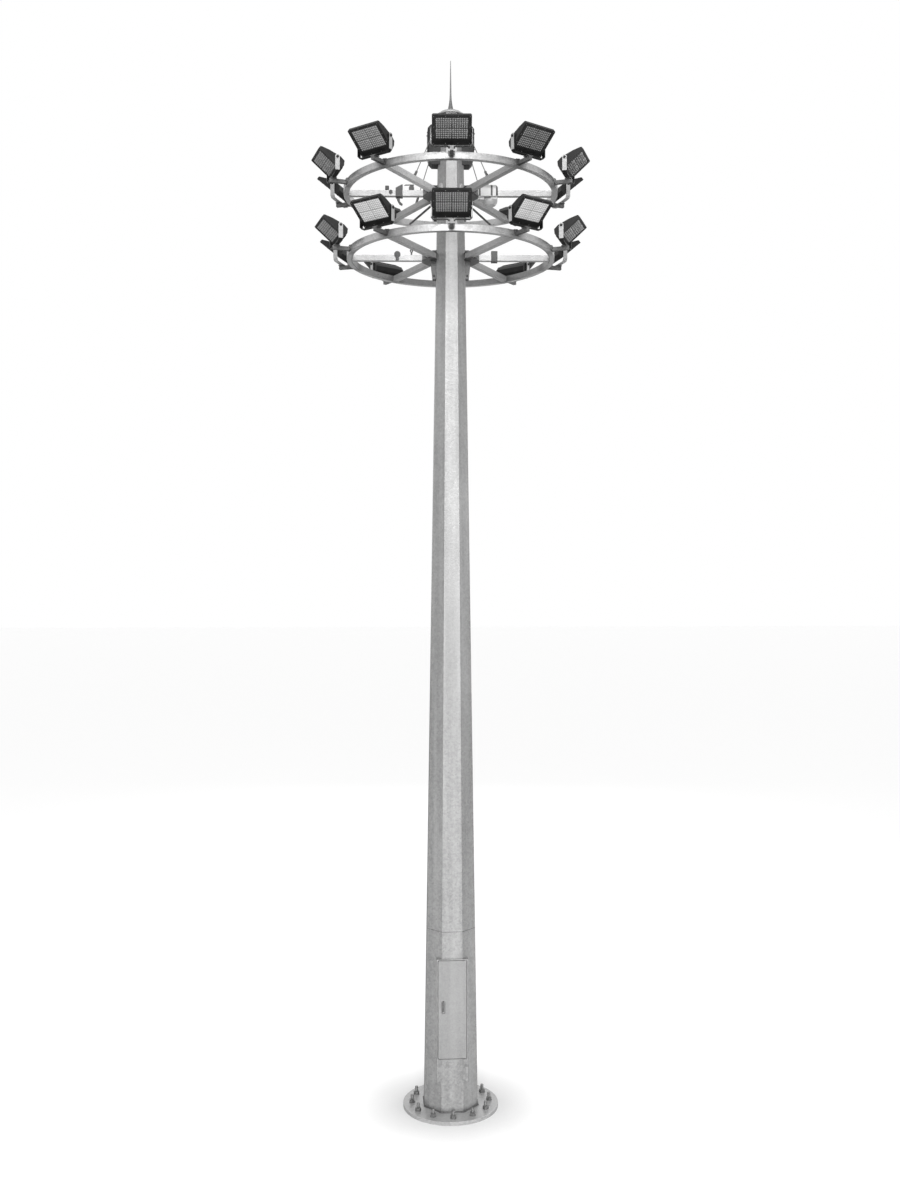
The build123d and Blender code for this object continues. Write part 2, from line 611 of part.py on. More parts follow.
def bracket_pair(z):
    """The two brackets that carry one ring's spokes: a saddle on the shaft's side, two fan plates that
    clasp the spokes, and two cheeks with round horns above and knees below."""
    side_x = flats_at(z) / 2
    root_x = side_x - BRACKET_BELOW * 0.05
    shaft = shaft_block(z - 2 * BRACKET_BELOW, z + 2 * BRACKET_ABOVE)
    spoke_top = z + SPOKE_BAR / 2
    spoke_foot = z - SPOKE_BAR / 2
    with BuildPart() as bracket:
        with BuildSketch(Plane.XY.offset(z - BRACKET_BELOW)):
            with Locations(((root_x + side_x + SADDLE_THICKNESS) / 2, 0)):
                Rectangle(side_x + SADDLE_THICKNESS - root_x, SADDLE_WIDTH)
        extrude(amount=BRACKET_BELOW + BRACKET_ABOVE)
        for foot in (spoke_top, spoke_foot - FAN_PLATE):
            with BuildSketch(Plane.XY.offset(foot)):
                with BuildLine():
                    Polyline(
                        (root_x, -SADDLE_WIDTH / 2),
                        (side_x + 10, -FAN_HALF_WIDTH * 0.92),
                        (side_x + FAN_REACH * 0.5, -FAN_HALF_WIDTH),
                        (side_x + FAN_REACH, -SPOKE_BAR / 2 - CHEEK_PLATE),
                        (side_x + FAN_REACH, SPOKE_BAR / 2 + CHEEK_PLATE),
                        (side_x + FAN_REACH * 0.5, FAN_HALF_WIDTH),
                        (side_x + 10, FAN_HALF_WIDTH * 0.92),
                        (root_x, SADDLE_WIDTH / 2),
                        close=True,
                    )
                make_face()
            extrude(amount=FAN_PLATE)
        for side in (-1, 1):
            # knee below the spokes
            with BuildSketch(Plane.XZ.offset(side * CHEEK_SPACING / 2)):
                with BuildLine():
                    Polyline(
                        (root_x, spoke_foot - FAN_PLATE),
                        (side_x + KNEE_TOP, spoke_foot - FAN_PLATE),
                        (side_x + SADDLE_THICKNESS + KNEE_FOOT, z - BRACKET_BELOW),
                        (root_x, z - BRACKET_BELOW),
                        close=True,
                    )
                make_face()
                with Locations((side_x + SADDLE_THICKNESS + KNEE_FOOT / 2, z - BRACKET_BELOW + KNEE_FOOT)):
                    Circle(KNEE_HOLE_RADIUS, mode=Mode.SUBTRACT)
            extrude(amount=CHEEK_PLATE / 2, both=True)
            # round horn above them
            horn_foot = spoke_top + FAN_PLATE
            horn_end = side_x + HORN_WIDTH
            with BuildSketch(Plane.XZ.offset(side * CHEEK_SPACING / 2)):
                with BuildLine():
                    Polyline((root_x, z + BRACKET_ABOVE), (root_x, horn_foot), (horn_end, horn_foot))
                    ThreePointArc(
                        (horn_end, horn_foot),
                        (horn_end - HORN_WIDTH / 4, z + BRACKET_ABOVE - 10),
                        (horn_end - HORN_WIDTH / 2, z + BRACKET_ABOVE),
                    )
                    Line((horn_end - HORN_WIDTH / 2, z + BRACKET_ABOVE), (root_x, z + BRACKET_ABOVE))
                make_face()
            extrude(amount=CHEEK_PLATE / 2, both=True)
            # side walls that box in the side spoke's root
            with BuildSketch(Plane.XY.offset(spoke_foot)):
                wall_y = side * (SPOKE_BAR + CHEEK_PLATE) / 2
                wall_start = side_x + FAN_REACH * 0.62
                with Locations(((wall_start + side_x + FAN_REACH) / 2, wall_y)):
                    Rectangle(side_x + FAN_REACH - wall_start, CHEEK_PLATE)
            extrude(amount=SPOKE_BAR)
    pair = [HEAD * Rot(0, 0, turn) * bracket.part for turn in (0, 180)]
    return [(one - shaft).solid() for one in pair]


def spoke_tubes(z, radius):
    """Six square tubes, from the brackets to the ring's inner face."""
    made = []
    with BuildPart() as inside:
        with BuildSketch(Plane.XY.offset(z - RING_HEIGHT)):
            Circle(radius - RING_WIDTH / 2)
        extrude(amount=2 * RING_HEIGHT)
    for azimuth in SPOKE_AZIMUTHS:
        root_x, root_y, heading, length = spoke_line(z, radius, azimuth)
        root = Pos(root_x, root_y, z) * Rot(0, 0, heading) * Rot(0, 90, 0)
        with BuildPart() as tube:
            with BuildSketch(Plane(root)):
                Rectangle(SPOKE_BAR, SPOKE_BAR)
                Rectangle(SPOKE_BAR - 2 * SPOKE_WALL, SPOKE_BAR - 2 * SPOKE_WALL, mode=Mode.SUBTRACT)
            extrude(amount=length)
            add(inside.part, mode=Mode.INTERSECT)
        for mirrored in (tube.part, tube.part.mirror(Plane.YZ)):
            made.append((HEAD * mirrored).solid())
    return made


def light_arm(radius):
    """The saddle, lip, bar, gusset and pad that carry one yoke, for a ring of this mean radius at height 0."""
    face = radius + RING_WIDTH / 2
    ring_top = RING_HEIGHT / 2
    bar_top = ring_top - ARM_DROP
    with BuildPart() as ring_space:
        with BuildSketch(Plane.XY.offset(-RING_HEIGHT)):
            Circle(face)
        extrude(amount=RING_HEIGHT + ring_top)
    with BuildPart() as one:
        with BuildSketch(Plane.XZ.offset(face - ARM_SADDLE)):
            with Locations((0, (ring_top + ARM_SADDLE_ROUND_Z) / 2)):
                Rectangle(ARM_SADDLE_WIDTH, ring_top - ARM_SADDLE_ROUND_Z)
            with Locations((0, ARM_SADDLE_ROUND_Z)):
                Circle(ARM_SADDLE_WIDTH / 2)
        extrude(amount=2 * ARM_SADDLE)
        with BuildSketch(Plane.XY.offset(ring_top)):
            with Locations((0, -(face + ARM_SADDLE) + (ARM_LIP + ARM_SADDLE) / 2)):
                Rectangle(ARM_SADDLE_WIDTH, ARM_LIP + ARM_SADDLE)
        extrude(amount=ARM_SADDLE)
        with BuildSketch(Plane.XZ.offset(face)):
            with Locations((0, bar_top - ARM_BAR / 2)):
                Rectangle(ARM_BAR, ARM_BAR)
        extrude(amount=YOKE_REACH + YOKE_PAD / 2)
        with BuildSketch(Plane.YZ):
            with BuildLine():
                Polyline(
                    (-face, bar_top - ARM_BAR),
                    (-face - ARM_GUSSET_REACH, bar_top - ARM_BAR),
                    (-face - ARM_SADDLE, ARM_SADDLE_ROUND_Z - ARM_SADDLE_WIDTH / 2),
                    (-face, ARM_SADDLE_ROUND_Z - ARM_SADDLE_WIDTH / 2),
                    close=True,
                )
            make_face()
        extrude(amount=ARM_SADDLE / 2, both=True)
        with BuildSketch(Plane.XZ.offset(face + ARM_SADDLE)):
            with Locations((0, bar_top - ARM_BAR / 2)):
                Rectangle(ARM_BAR - 2 * ARM_WALL, ARM_BAR - 2 * ARM_WALL)
        extrude(amount=YOKE_REACH + YOKE_PAD / 2 - ARM_SADDLE - ARM_WALL, mode=Mode.SUBTRACT)
        with BuildSketch(Plane.XY.offset(bar_top)):
            with Locations((0, -face - YOKE_REACH)):
                Rectangle(YOKE_PAD, YOKE_PAD)
        extrude(amount=YOKE_PAD_THICKNESS)
        add(ring_space.part, mode=Mode.SUBTRACT)
    return one.part


# ---------------------------------------------------------------- yoke and floodlight
# both are built with the pivot's axis on X through the origin, and the floodlight's face towards -Y
ear_inner = LIGHT_WIDTH / 2 + YOKE_GAP
ear_middle = ear_inner + YOKE_SHEET / 2
ear_outer = ear_inner + YOKE_SHEET
bar_middle = -YOKE_RISE - YOKE_SHEET / 2

with BuildPart() as yoke:
    with BuildSketch(Plane.XZ.offset(-YOKE_WIDTH / 2)):
        with BuildLine():
            Polyline(
                (-ear_middle, YOKE_EAR),
                (-ear_middle, bar_middle + YOKE_BEND),
                (-ear_middle + YOKE_BEND, bar_middle),
                (ear_middle - YOKE_BEND, bar_middle),
                (ear_middle, bar_middle + YOKE_BEND),
                (ear_middle, YOKE_EAR),
            )
        trace(line_width=YOKE_SHEET)
    extrude(amount=YOKE_WIDTH)
    ear_edges = yoke.edges().filter_by(Axis.X).group_by(Axis.Z)[-1]
    chamfer(ear_edges, YOKE_WIDTH * 0.3)
    with BuildSketch(Plane.YZ):
        Circle(PIVOT_PIN_RADIUS + PIN_CLEARANCE)
    extrude(amount=ear_outer + YOKE_SHEET, both=True, mode=Mode.SUBTRACT)
    with BuildSketch(Plane.XY.offset(-YOKE_RISE)):
        with Locations((-YOKE_BOLT_SPACING / 2, 0), (YOKE_BOLT_SPACING / 2, 0)):
            RegularPolygon(YOKE_BOLT_RADIUS, 6)
    extrude(amount=YOKE_BOLT_HEIGHT)

face_y = -PIVOT_DEPTH
foot_z = -PIVOT_HEIGHT
top_z = foot_z + LIGHT_HEIGHT
window_middle = top_z - WINDOW_FROM_TOP - WINDOW_HEIGHT / 2
body_half = LIGHT_WIDTH / 2 - BODY_INSET
gap_width = (2 * (body_half - BODY_CHEEK) - (GAP_COUNT - 1) * FIN_THICKNESS) / GAP_COUNT
fin_pitch = gap_width + FIN_THICKNESS


def side_point(height, depth):
    """A point of the housing's side outline, in the sketch plane Plane.YZ."""
    return face_y + depth, foot_z + height


FACE_PLANE = Plane(origin=(0, face_y, 0), x_dir=(1, 0, 0), z_dir=(0, -1, 0))

with BuildPart() as floodlight:
    with BuildSketch(FACE_PLANE):
        with Locations((0, foot_z + LIGHT_HEIGHT / 2)):
            bezel = Rectangle(LIGHT_WIDTH, LIGHT_HEIGHT)
        chamfer(bezel.vertices(), BEZEL_CORNER)
    extrude(amount=-BEZEL_DEPTH)
    with BuildSketch(Plane.YZ):
        with BuildLine():
            Polyline(
                side_point(BODY_OUTLINE[0][0], BEZEL_DEPTH),
                *[side_point(height, depth) for height, depth in BODY_OUTLINE],
                side_point(BODY_OUTLINE[-1][0], BEZEL_DEPTH),
                close=True,
            )
        make_face()
    extrude(amount=body_half, both=True)
    # gaps between the fins, cut from the back and above
    with BuildSketch(Plane.YZ.offset(-body_half + BODY_CHEEK)) as gap_outline:
        with BuildLine():
            shoulder_height, shoulder_depth = BODY_OUTLINE[-2]
            Polyline(
                side_point(LIGHT_HEIGHT + 40, BEZEL_DEPTH),
                side_point(shoulder_height, shoulder_depth - FIN_DEPTH),
                side_point(FIN_FOOT + 24, BODY_OUTLINE[2][1] - FIN_DEPTH - 4),
                side_point(FIN_FOOT, BODY_OUTLINE[2][1] + 20),
                side_point(LIGHT_HEIGHT + 40, BODY_OUTLINE[2][1] + 20),
                close=True,
            )
        make_face()
    gap = extrude(amount=gap_width, mode=Mode.PRIVATE)
    for index in range(GAP_COUNT):
        add(Pos(index * fin_pitch, 0, 0) * gap, mode=Mode.SUBTRACT)
    # window with four lens modules
    with BuildSketch(FACE_PLANE):
        with Locations((0, window_middle)):
            Rectangle(WINDOW_WIDTH, WINDOW_HEIGHT)
    extrude(amount=-WINDOW_DEPTH, mode=Mode.SUBTRACT)
    with BuildSketch(FACE_PLANE.offset(-WINDOW_DEPTH)):
        with Locations((0, window_middle)):
            with GridLocations(WINDOW_WIDTH / 2, WINDOW_HEIGHT / 2, 2, 2):
                Rectangle(WINDOW_WIDTH / 2 - MODULE_GAP, WINDOW_HEIGHT / 2 - MODULE_GAP)
    extrude(amount=MODULE_THICKNESS)
    # pivot bosses, pins and their heads
    for side in (-1, 1):
        boss_plane = Plane(origin=(side * body_half, 0, 0), x_dir=(0, 1, 0), z_dir=(side, 0, 0))
        boss_length = ear_inner - body_half - PIVOT_HEAD_GAP
        with BuildSketch(boss_plane):
            RegularPolygon(BOSS_RADIUS, 8)
        extrude(amount=boss_length)
        with BuildSketch(boss_plane):
            Circle(PIVOT_PIN_RADIUS)
        extrude(amount=boss_length + YOKE_SHEET + 2 * PIVOT_HEAD_GAP)
        with BuildSketch(boss_plane.offset(boss_length + YOKE_SHEET + 2 * PIVOT_HEAD_GAP)):
            RegularPolygon(PIVOT_HEAD_RADIUS, 6)
        extrude(amount=PIVOT_HEAD_THICKNESS)

# ---------------------------------------------------------------- stays, cap to upper spokes
foot_pin_z = UPPER_RING_Z + SPOKE_BAR / 2 + LUG_PIN_HEIGHT
top_pin_z = SHAFT_TOP_Z - LUG_PIN_HEIGHT
stay_length = hypot(STAY_FOOT_RADIUS - STAY_TOP_RADIUS, top_pin_z - foot_pin_z)
stay_lean = degrees(atan2(STAY_FOOT_RADIUS - STAY_TOP_RADIUS, top_pin_z - foot_pin_z))

with BuildPart() as stay_lug:
    with BuildSketch(Plane.YZ):
        with Locations((0, LUG_HEIGHT / 2)):
            Rectangle(LUG_WIDTH, LUG_HEIGHT)
        with Locations((0, LUG_PIN_HEIGHT)):
            Circle(STAY_PIN_RADIUS, mode=Mode.SUBTRACT)
    extrude(amount=LUG_THICKNESS / 2, both=True)
    fillet(stay_lug.edges().filter_by(Axis.X).group_by(Axis.Z)[-1], LUG_ROUNDING)

with BuildPart() as stay:
    # the lower pin is at the origin and the rod runs up Z, with the pins along X
    with BuildSketch():
        Circle(STAY_RADIUS)
    extrude(amount=stay_length)
    for end, sense in ((0, 1), (stay_length, -1)):
        with BuildSketch(Plane.YZ):
            with Locations((0, end + sense * (FORK_LENGTH - FORK_PAST_PIN) / 2)):
                Rectangle(FORK_WIDTH, FORK_LENGTH + FORK_PAST_PIN)
        extrude(amount=LUG_THICKNESS / 2 + FORK_WALL, both=True)
        slot_middle = end + sense * (FORK_SLOT - LUG_WIDTH) / 2
        with BuildSketch(Plane.YZ):
            with Locations((0, slot_middle)):
                Rectangle(2 * LUG_WIDTH, FORK_SLOT + LUG_WIDTH)
        extrude(amount=LUG_THICKNESS / 2, both=True, mode=Mode.SUBTRACT)
        with BuildSketch(Plane.YZ):
            with Locations((0, end)):
                Circle(STAY_PIN_RADIUS)
        extrude(amount=LUG_THICKNESS / 2 + FORK_WALL + 3, both=True)

lug_places = [
    on_azimuth(azimuth, STAY_FOOT_RADIUS, UPPER_RING_Z + SPOKE_BAR / 2) for azimuth in stay_places
]
write_copies(stay_lug.part, lug_places, "stay_lugs")
pin_places = [
    on_azimuth(azimuth, STAY_FOOT_RADIUS, foot_pin_z) * Rot(-stay_lean, 0, 0) for azimuth in stay_places
]
write_copies(stay.part, pin_places, "stays")

# ---------------------------------------------------------------- gear case on the upper right-hand spoke
# it and the other fittings are built on a spoke that runs out along +X with its mid-height at 0
spoke_half = SPOKE_BAR / 2
tray_z = -spoke_half - CASE_TRAY
lug_z = tray_z - CASE_LUG_HEIGHT

with BuildPart() as gear_case:
    with BuildSketch(Plane.YZ.offset(CASE_START)) as arch:
        with Locations((0, (CASE_RISE - spoke_half) / 2)):
            Rectangle(2 * CASE_RADIUS, CASE_RISE + spoke_half)
        with Locations((0, CASE_RISE)):
            Circle(CASE_RADIUS)
    extrude(amount=CASE_LENGTH)
    outer_end = gear_case.faces().sort_by(Axis.X)[-1]
    chamfer(outer_end.edges().group_by(Axis.Z)[-1], CASE_END_CHAMFER)
    for start in CASE_STRAPS:
        with BuildSketch(Plane.YZ.offset(start)):
            offset(arch.sketch, amount=CASE_STRAP_PROUD)
        extrude(amount=CASE_STRAP_WIDTH)
    with BuildSketch(Plane.YZ.offset(CASE_START)):
        with Locations((0, -spoke_half)):
            Rectangle(SPOKE_BAR, 2 * SPOKE_BAR)
    extrude(amount=CASE_LENGTH, mode=Mode.SUBTRACT)
    # tray under the spoke, its two lugs and the bowl that hangs from them
    with BuildSketch(Plane.XY.offset(tray_z)):
        with Locations((CASE_START + CASE_LENGTH / 2, 0)):
            Rectangle(CASE_LENGTH, 2 * CASE_RADIUS)
    extrude(amount=CASE_TRAY)
    with BuildSketch(Plane.XY.offset(lug_z)):
        for start, length in CASE_LUGS:
            with Locations((start + length / 2, 0)):
                Rectangle(length, CASE_LUG_WIDTH)
    extrude(amount=CASE_LUG_HEIGHT)
    with BuildSketch(Plane.XZ):
        with BuildLine():
            Polyline(
                (BOWL_X, lug_z),
                (BOWL_X + BOWL_RADIUS, lug_z),
                (BOWL_X + BOWL_RADIUS * 0.93, lug_z - BOWL_DEPTH * 0.4),
                (BOWL_X + BOWL_RADIUS * 0.72, lug_z - BOWL_DEPTH * 0.78),
                (BOWL_X + BOWL_RADIUS * 0.36, lug_z - BOWL_DEPTH),
                (BOWL_X, lug_z - BOWL_DEPTH),
                close=True,
            )
        make_face()
    revolve(axis=Axis((BOWL_X, 0, 0), (0, 0, 1)))
    # breather on top
    with BuildSketch(Plane.XY.offset(CASE_RISE)):
        with Locations((CASE_KNOB_X, 0)):
            Circle(CASE_KNOB_RADIUS)
    extrude(amount=CASE_RADIUS + CASE_KNOB_PROUD)
upper_out = Pos(flats_at(UPPER_RING_Z) / 2 + FAN_REACH, 0, 0)
lower_out = Pos(flats_at(LOWER_RING_Z) / 2 + FAN_REACH, 0, 0)
upper_head = HEAD * Pos(0, 0, UPPER_RING_Z)
lower_head = HEAD * Pos(0, 0, LOWER_RING_Z)
write(copy_at(gear_case.part, upper_head * upper_out), "gear_case")

# ---------------------------------------------------------------- small fittings on the other side spokes
with BuildPart() as guide_post:
    with BuildSketch(Plane.XY.offset(spoke_half)):
        with Locations((POST_X, 0)):
            Circle(POST_RADIUS)
    extrude(amount=POST_STEM)
    with BuildSketch(Plane.XY.offset(spoke_half + POST_STEM)):
        with Locations((POST_X, 0)):
            RectangleRounded(POST_HEAD, POST_HEAD, POST_RADIUS)
    extrude(amount=POST_HEAD)

with BuildPart() as side_disc:
    with BuildSketch(Plane.XZ.offset(-spoke_half - DISC_THICKNESS)):
        with Locations((POST_X - POST_HEAD, spoke_half - DISC_RADIUS)):
            Circle(DISC_RADIUS)
    extrude(amount=DISC_THICKNESS)

with BuildPart() as wedge_clamp:
    wedge_end = WEDGE_START + WEDGE_LENGTH
    with BuildSketch(Plane.XZ):
        with BuildLine():
            Polyline(
                (WEDGE_START, spoke_half),
                (WEDGE_START, spoke_half + WEDGE_HEIGHT),
                (WEDGE_START + WEDGE_LENGTH * 0.1, spoke_half + WEDGE_HEIGHT),
                (wedge_end, spoke_half + WEDGE_HEIGHT * 0.45),
                (wedge_end, spoke_half),
                close=True,
            )
        make_face()
    extrude(amount=WEDGE_WIDTH / 2, both=True)
    with BuildSketch(Plane.YZ.offset(WEDGE_START)):
        Rectangle(SPOKE_BAR + 2 * WEDGE_PLATE, SPOKE_BAR + 2 * WEDGE_PLATE)
        Rectangle(SPOKE_BAR, SPOKE_BAR, mode=Mode.SUBTRACT)
    extrude(amount=WEDGE_LENGTH)
    with BuildSketch(Plane.XZ):
        with BuildLine():
            tail_z = -spoke_half - WEDGE_PLATE
            Polyline(
                (wedge_end - 10, tail_z),
                (wedge_end - 60, tail_z),
                (wedge_end - 60, tail_z - WEDGE_TAIL * 0.5),
                (WEDGE_START, tail_z - WEDGE_TAIL * 0.8),
                (WEDGE_START + 8, tail_z - WEDGE_TAIL),
                (WEDGE_START + 46, tail_z - WEDGE_TAIL * 0.85),
                (wedge_end - 22, tail_z - WEDGE_TAIL * 0.4),
                close=True,
            )
        make_face()
    extrude(amount=WEDGE_PLATE, both=True)

with BuildPart() as pulley:
    with BuildSketch(Plane.XZ):
        with Locations((PULLEY_X, spoke_half + PULLEY_RADIUS)):
            Circle(PULLEY_RADIUS)
        with BuildLine():
            Polyline(
                (PULLEY_X - PULLEY_RADIUS, spoke_half),
                (PULLEY_X + PULLEY_RADIUS, spoke_half),
                (PULLEY_X + PULLEY_RADIUS, spoke_half + PULLEY_RADIUS * 0.7),
                (PULLEY_X - PULLEY_RADIUS, spoke_half + PULLEY_RADIUS * 0.7),
                close=True,
            )
        make_face()
    extrude(amount=PULLEY_THICKNESS / 2, both=True)
    with BuildSketch(Plane.XZ):
        with BuildLine():
            Polyline(
                (PULLEY_X - PULLEY_RADIUS * 0.6, spoke_half + PULLEY_RADIUS),
                (PULLEY_X - PULLEY_RADIUS, spoke_half + 2.4 * PULLEY_RADIUS),
                (PULLEY_X + 2.2 * PULLEY_RADIUS, spoke_half + 2.4 * PULLEY_RADIUS),
                (PULLEY_X + 2.8 * PULLEY_RADIUS, spoke_half + 2 * PULLEY_RADIUS),
                (PULLEY_X, spoke_half + 2.1 * PULLEY_RADIUS),
                (PULLEY_X, spoke_half + PULLEY_RADIUS),
                close=True,
            )
        make_face()
    extrude(amount=WEDGE_PLATE / 2, both=True)

with BuildPart() as cable_clamp:
    with BuildSketch(Plane.YZ.offset(CLAMP_START)):
        with Locations((0, (CLAMP_TOP - CLAMP_WALL) / 2)):
            Rectangle(SPOKE_BAR + 2 * CLAMP_WALL, SPOKE_BAR + CLAMP_TOP + CLAMP_WALL)
        Rectangle(SPOKE_BAR, SPOKE_BAR, mode=Mode.SUBTRACT)
    extrude(amount=CLAMP_LENGTH)
    chamfer(cable_clamp.edges().filter_by(Axis.X).group_by(Axis.Z)[-1], CLAMP_WALL)

with BuildPart() as reel:
    with BuildSketch(Plane.XZ.offset(-spoke_half - DISC_THICKNESS)):
        with Locations((REEL_X, REEL_RISE)):
            Circle(REEL_RADIUS)
        with Locations((REEL_X, 0)):
            Rectangle(REEL_RADIUS, SPOKE_BAR)
    extrude(amount=DISC_THICKNESS)

with BuildPart() as ring_stem:
    with BuildSketch(Plane.XZ):
        with Locations((STEM_X, spoke_half + STEM_HEIGHT / 2)):
            Rectangle(STEM_HEAD_RADIUS, STEM_HEIGHT)
        with Locations((STEM_X, spoke_half + STEM_HEIGHT)):
            Circle(STEM_HEAD_RADIUS)
            Circle(STEM_HEAD_RADIUS * 0.42, mode=Mode.SUBTRACT)
    extrude(amount=WEDGE_PLATE, both=True)

LEFT = Rot(0, 0, 180)
upper_left = upper_head * LEFT * upper_out
lower_left = lower_head * LEFT * lower_out
fittings = [copy_at(piece.part, upper_left) for piece in (guide_post, side_disc, wedge_clamp, pulley)]
fittings += [copy_at(cable_clamp.part, lower_head * lower_out)]
fittings += [copy_at(piece.part, lower_left) for piece in (reel, ring_stem)]
write_solids(fittings, "spoke_fittings")

# ---------------------------------------------------------------- braces of the upper ring's rear
brace_out, brace_back = BRACE_ROOT
brace_root = Vector(flats_at(UPPER_RING_Z) / 2 + brace_out, brace_back, UPPER_RING_Z - BRACE_DROP)
ring_inside = UPPER_RING_RADIUS - RING_WIDTH / 2
brace_end = Vector(
    ring_inside * sin(radians(BRACE_AZIMUTH)),
    -ring_inside * cos(radians(BRACE_AZIMUTH)),
    UPPER_RING_Z - BRACE_FOOT_DROP,
)
brace_run = brace_end - brace_root

with BuildPart() as rear_brace:
    with BuildSketch(Plane(origin=brace_root, z_dir=brace_run)):
        Circle(BRACE_RADIUS)
    extrude(amount=brace_run.length + BRACE_RADIUS)
    with BuildSketch(Plane.XY.offset(UPPER_RING_Z - RING_HEIGHT)):
        Circle(ring_inside + 4 * RING_WIDTH)
        Circle(ring_inside, mode=Mode.SUBTRACT)
    extrude(amount=2 * RING_HEIGHT, mode=Mode.SUBTRACT)
braces = [(HEAD * side).solid() for side in (rear_brace.part, rear_brace.part.mirror(Plane.YZ))]
write_solids(braces, "upper_rear_braces")

# ---------------------------------------------------------------- both lantern rings
for level, z, radius in (
    ("upper", UPPER_RING_Z, UPPER_RING_RADIUS),
    ("lower", LOWER_RING_Z, LOWER_RING_RADIUS),
):
    yoke_radius = radius + RING_WIDTH / 2 + YOKE_REACH
    pivot_z = z + RING_HEIGHT / 2 - ARM_DROP + YOKE_PAD_THICKNESS + YOKE_SHEET + YOKE_RISE
    write(ring_bar(z, radius), f"{level}_ring")
    write_solids(bracket_pair(z), f"{level}_brackets")
    write_solids(spoke_tubes(z, radius), f"{level}_spokes")
    arm_places = [on_azimuth(azimuth, 0, z) for azimuth in LIGHT_AZIMUTHS]
    write_copies(light_arm(radius), arm_places, f"{level}_arms")
    pivots = [on_azimuth(azimuth, yoke_radius, pivot_z) for azimuth in LIGHT_AZIMUTHS]
    write_copies(yoke.part, pivots, f"{level}_yokes")
    for number, pivot in enumerate(pivots, start=1):
        write(copy_at(floodlight.part, pivot * Rot(LIGHT_TILT, 0, 0)), f"floodlight_{level}_{number:02d}")
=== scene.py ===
# %% [markdown]
# # A high mast floodlight tower, finished for the camera
# The mast's real pieces come in as a fixed frame: an eight-sided steel shaft on a bolted flange, two rings of
# floodlights, stays and a lightning rod. This lesson puts a camera and soft lamps round them, mixes a finish for
# every metal and plastic, and models the small things that sit on the frame: the lens plates of the lamps, their
# bezel screws, the bolts of the arms and brackets, the lids on the head boxes, the stud threads and the welds.

# %% Load the frame
import json
from math import atan2, cos, pi, radians, sin

import bpy
from mathutils import Matrix, Vector


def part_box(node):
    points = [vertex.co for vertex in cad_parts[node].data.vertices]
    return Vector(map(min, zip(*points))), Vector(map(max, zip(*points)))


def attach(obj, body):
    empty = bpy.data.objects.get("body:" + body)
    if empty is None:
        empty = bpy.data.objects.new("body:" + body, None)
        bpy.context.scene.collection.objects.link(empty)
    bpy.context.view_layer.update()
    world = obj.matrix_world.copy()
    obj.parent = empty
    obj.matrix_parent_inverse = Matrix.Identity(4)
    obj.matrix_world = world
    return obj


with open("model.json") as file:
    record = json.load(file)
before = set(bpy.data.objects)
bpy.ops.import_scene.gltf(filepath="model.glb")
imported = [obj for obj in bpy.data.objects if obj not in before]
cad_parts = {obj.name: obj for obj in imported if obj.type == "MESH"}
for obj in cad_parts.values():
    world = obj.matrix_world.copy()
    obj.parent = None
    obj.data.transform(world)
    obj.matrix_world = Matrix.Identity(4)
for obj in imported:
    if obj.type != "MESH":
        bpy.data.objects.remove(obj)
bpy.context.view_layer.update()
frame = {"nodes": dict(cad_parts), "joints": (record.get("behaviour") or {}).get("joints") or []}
nodes = frame["nodes"]
joints = {joint["name"]: joint for joint in frame["joints"]}
scene = bpy.context.scene

# %% [markdown]
# ## The camera
# A tall object is seen whole from a good way off. The camera stands a little to the left of the door, at about
# half the mast's height, and looks almost level, so the rings show their undersides and the flange its top.
# The distance, height and lens together set how far the rings open into ellipses.

# %% Place the camera
VIEW_AZIMUTH = radians(-4.0)
VIEW_DISTANCE = 16.95
VIEW_HEIGHT = 7.486
VIEW_PITCH = radians(-0.664)
VIEW_YAW = radians(0.028)
LENS = 35.37  # mm
SENSOR = 36  # mm, along the picture's longer side
CLIP_END = 500


def on_azimuth(azimuth, radius, height):
    """A point at this azimuth, counted from -Y towards +X."""
    return Vector((radius * sin(azimuth), -radius * cos(azimuth), height))


bpy.ops.object.camera_add(
    location=on_azimuth(VIEW_AZIMUTH, VIEW_DISTANCE, VIEW_HEIGHT),
    rotation=(pi / 2 + VIEW_PITCH, 0, VIEW_AZIMUTH + VIEW_YAW),
)
camera = bpy.context.object
camera.data.lens = LENS
camera.data.sensor_width = SENSOR
camera.data.clip_end = CLIP_END
scene.camera = camera
scene.view_settings.view_transform = "Standard"
print("camera at", [round(value, 2) for value in camera.location])

# %% [markdown]
# ## Shader sums in Python
# Node graphs are quick to read when they are written as sums. A small class holds one socket of a material and
# turns `+`, `-` and `*` into Math nodes. A second one holds a material and adds any other node by its type, with
# its settings first and then the values or links of its sockets.


# %% The two helper classes
class Signal:
    """One output socket of a finish, to be used in sums."""

    def __init__(self, finish, socket):
        self.finish = finish
        self.socket = socket

    def sum_node(self, operation, first, second):
        return self.finish.node("ShaderNodeMath", {"operation": operation}, {0: first, 1: second})

    def __add__(self, other):
        return self.sum_node("ADD", self, other)

    def __sub__(self, other):
        return self.sum_node("SUBTRACT", self, other)

    def __rsub__(self, other):
        return self.sum_node("SUBTRACT", other, self)

    def __mul__(self, other):
        return self.sum_node("MULTIPLY", self, other)

    __radd__ = __add__
    __rmul__ = __mul__


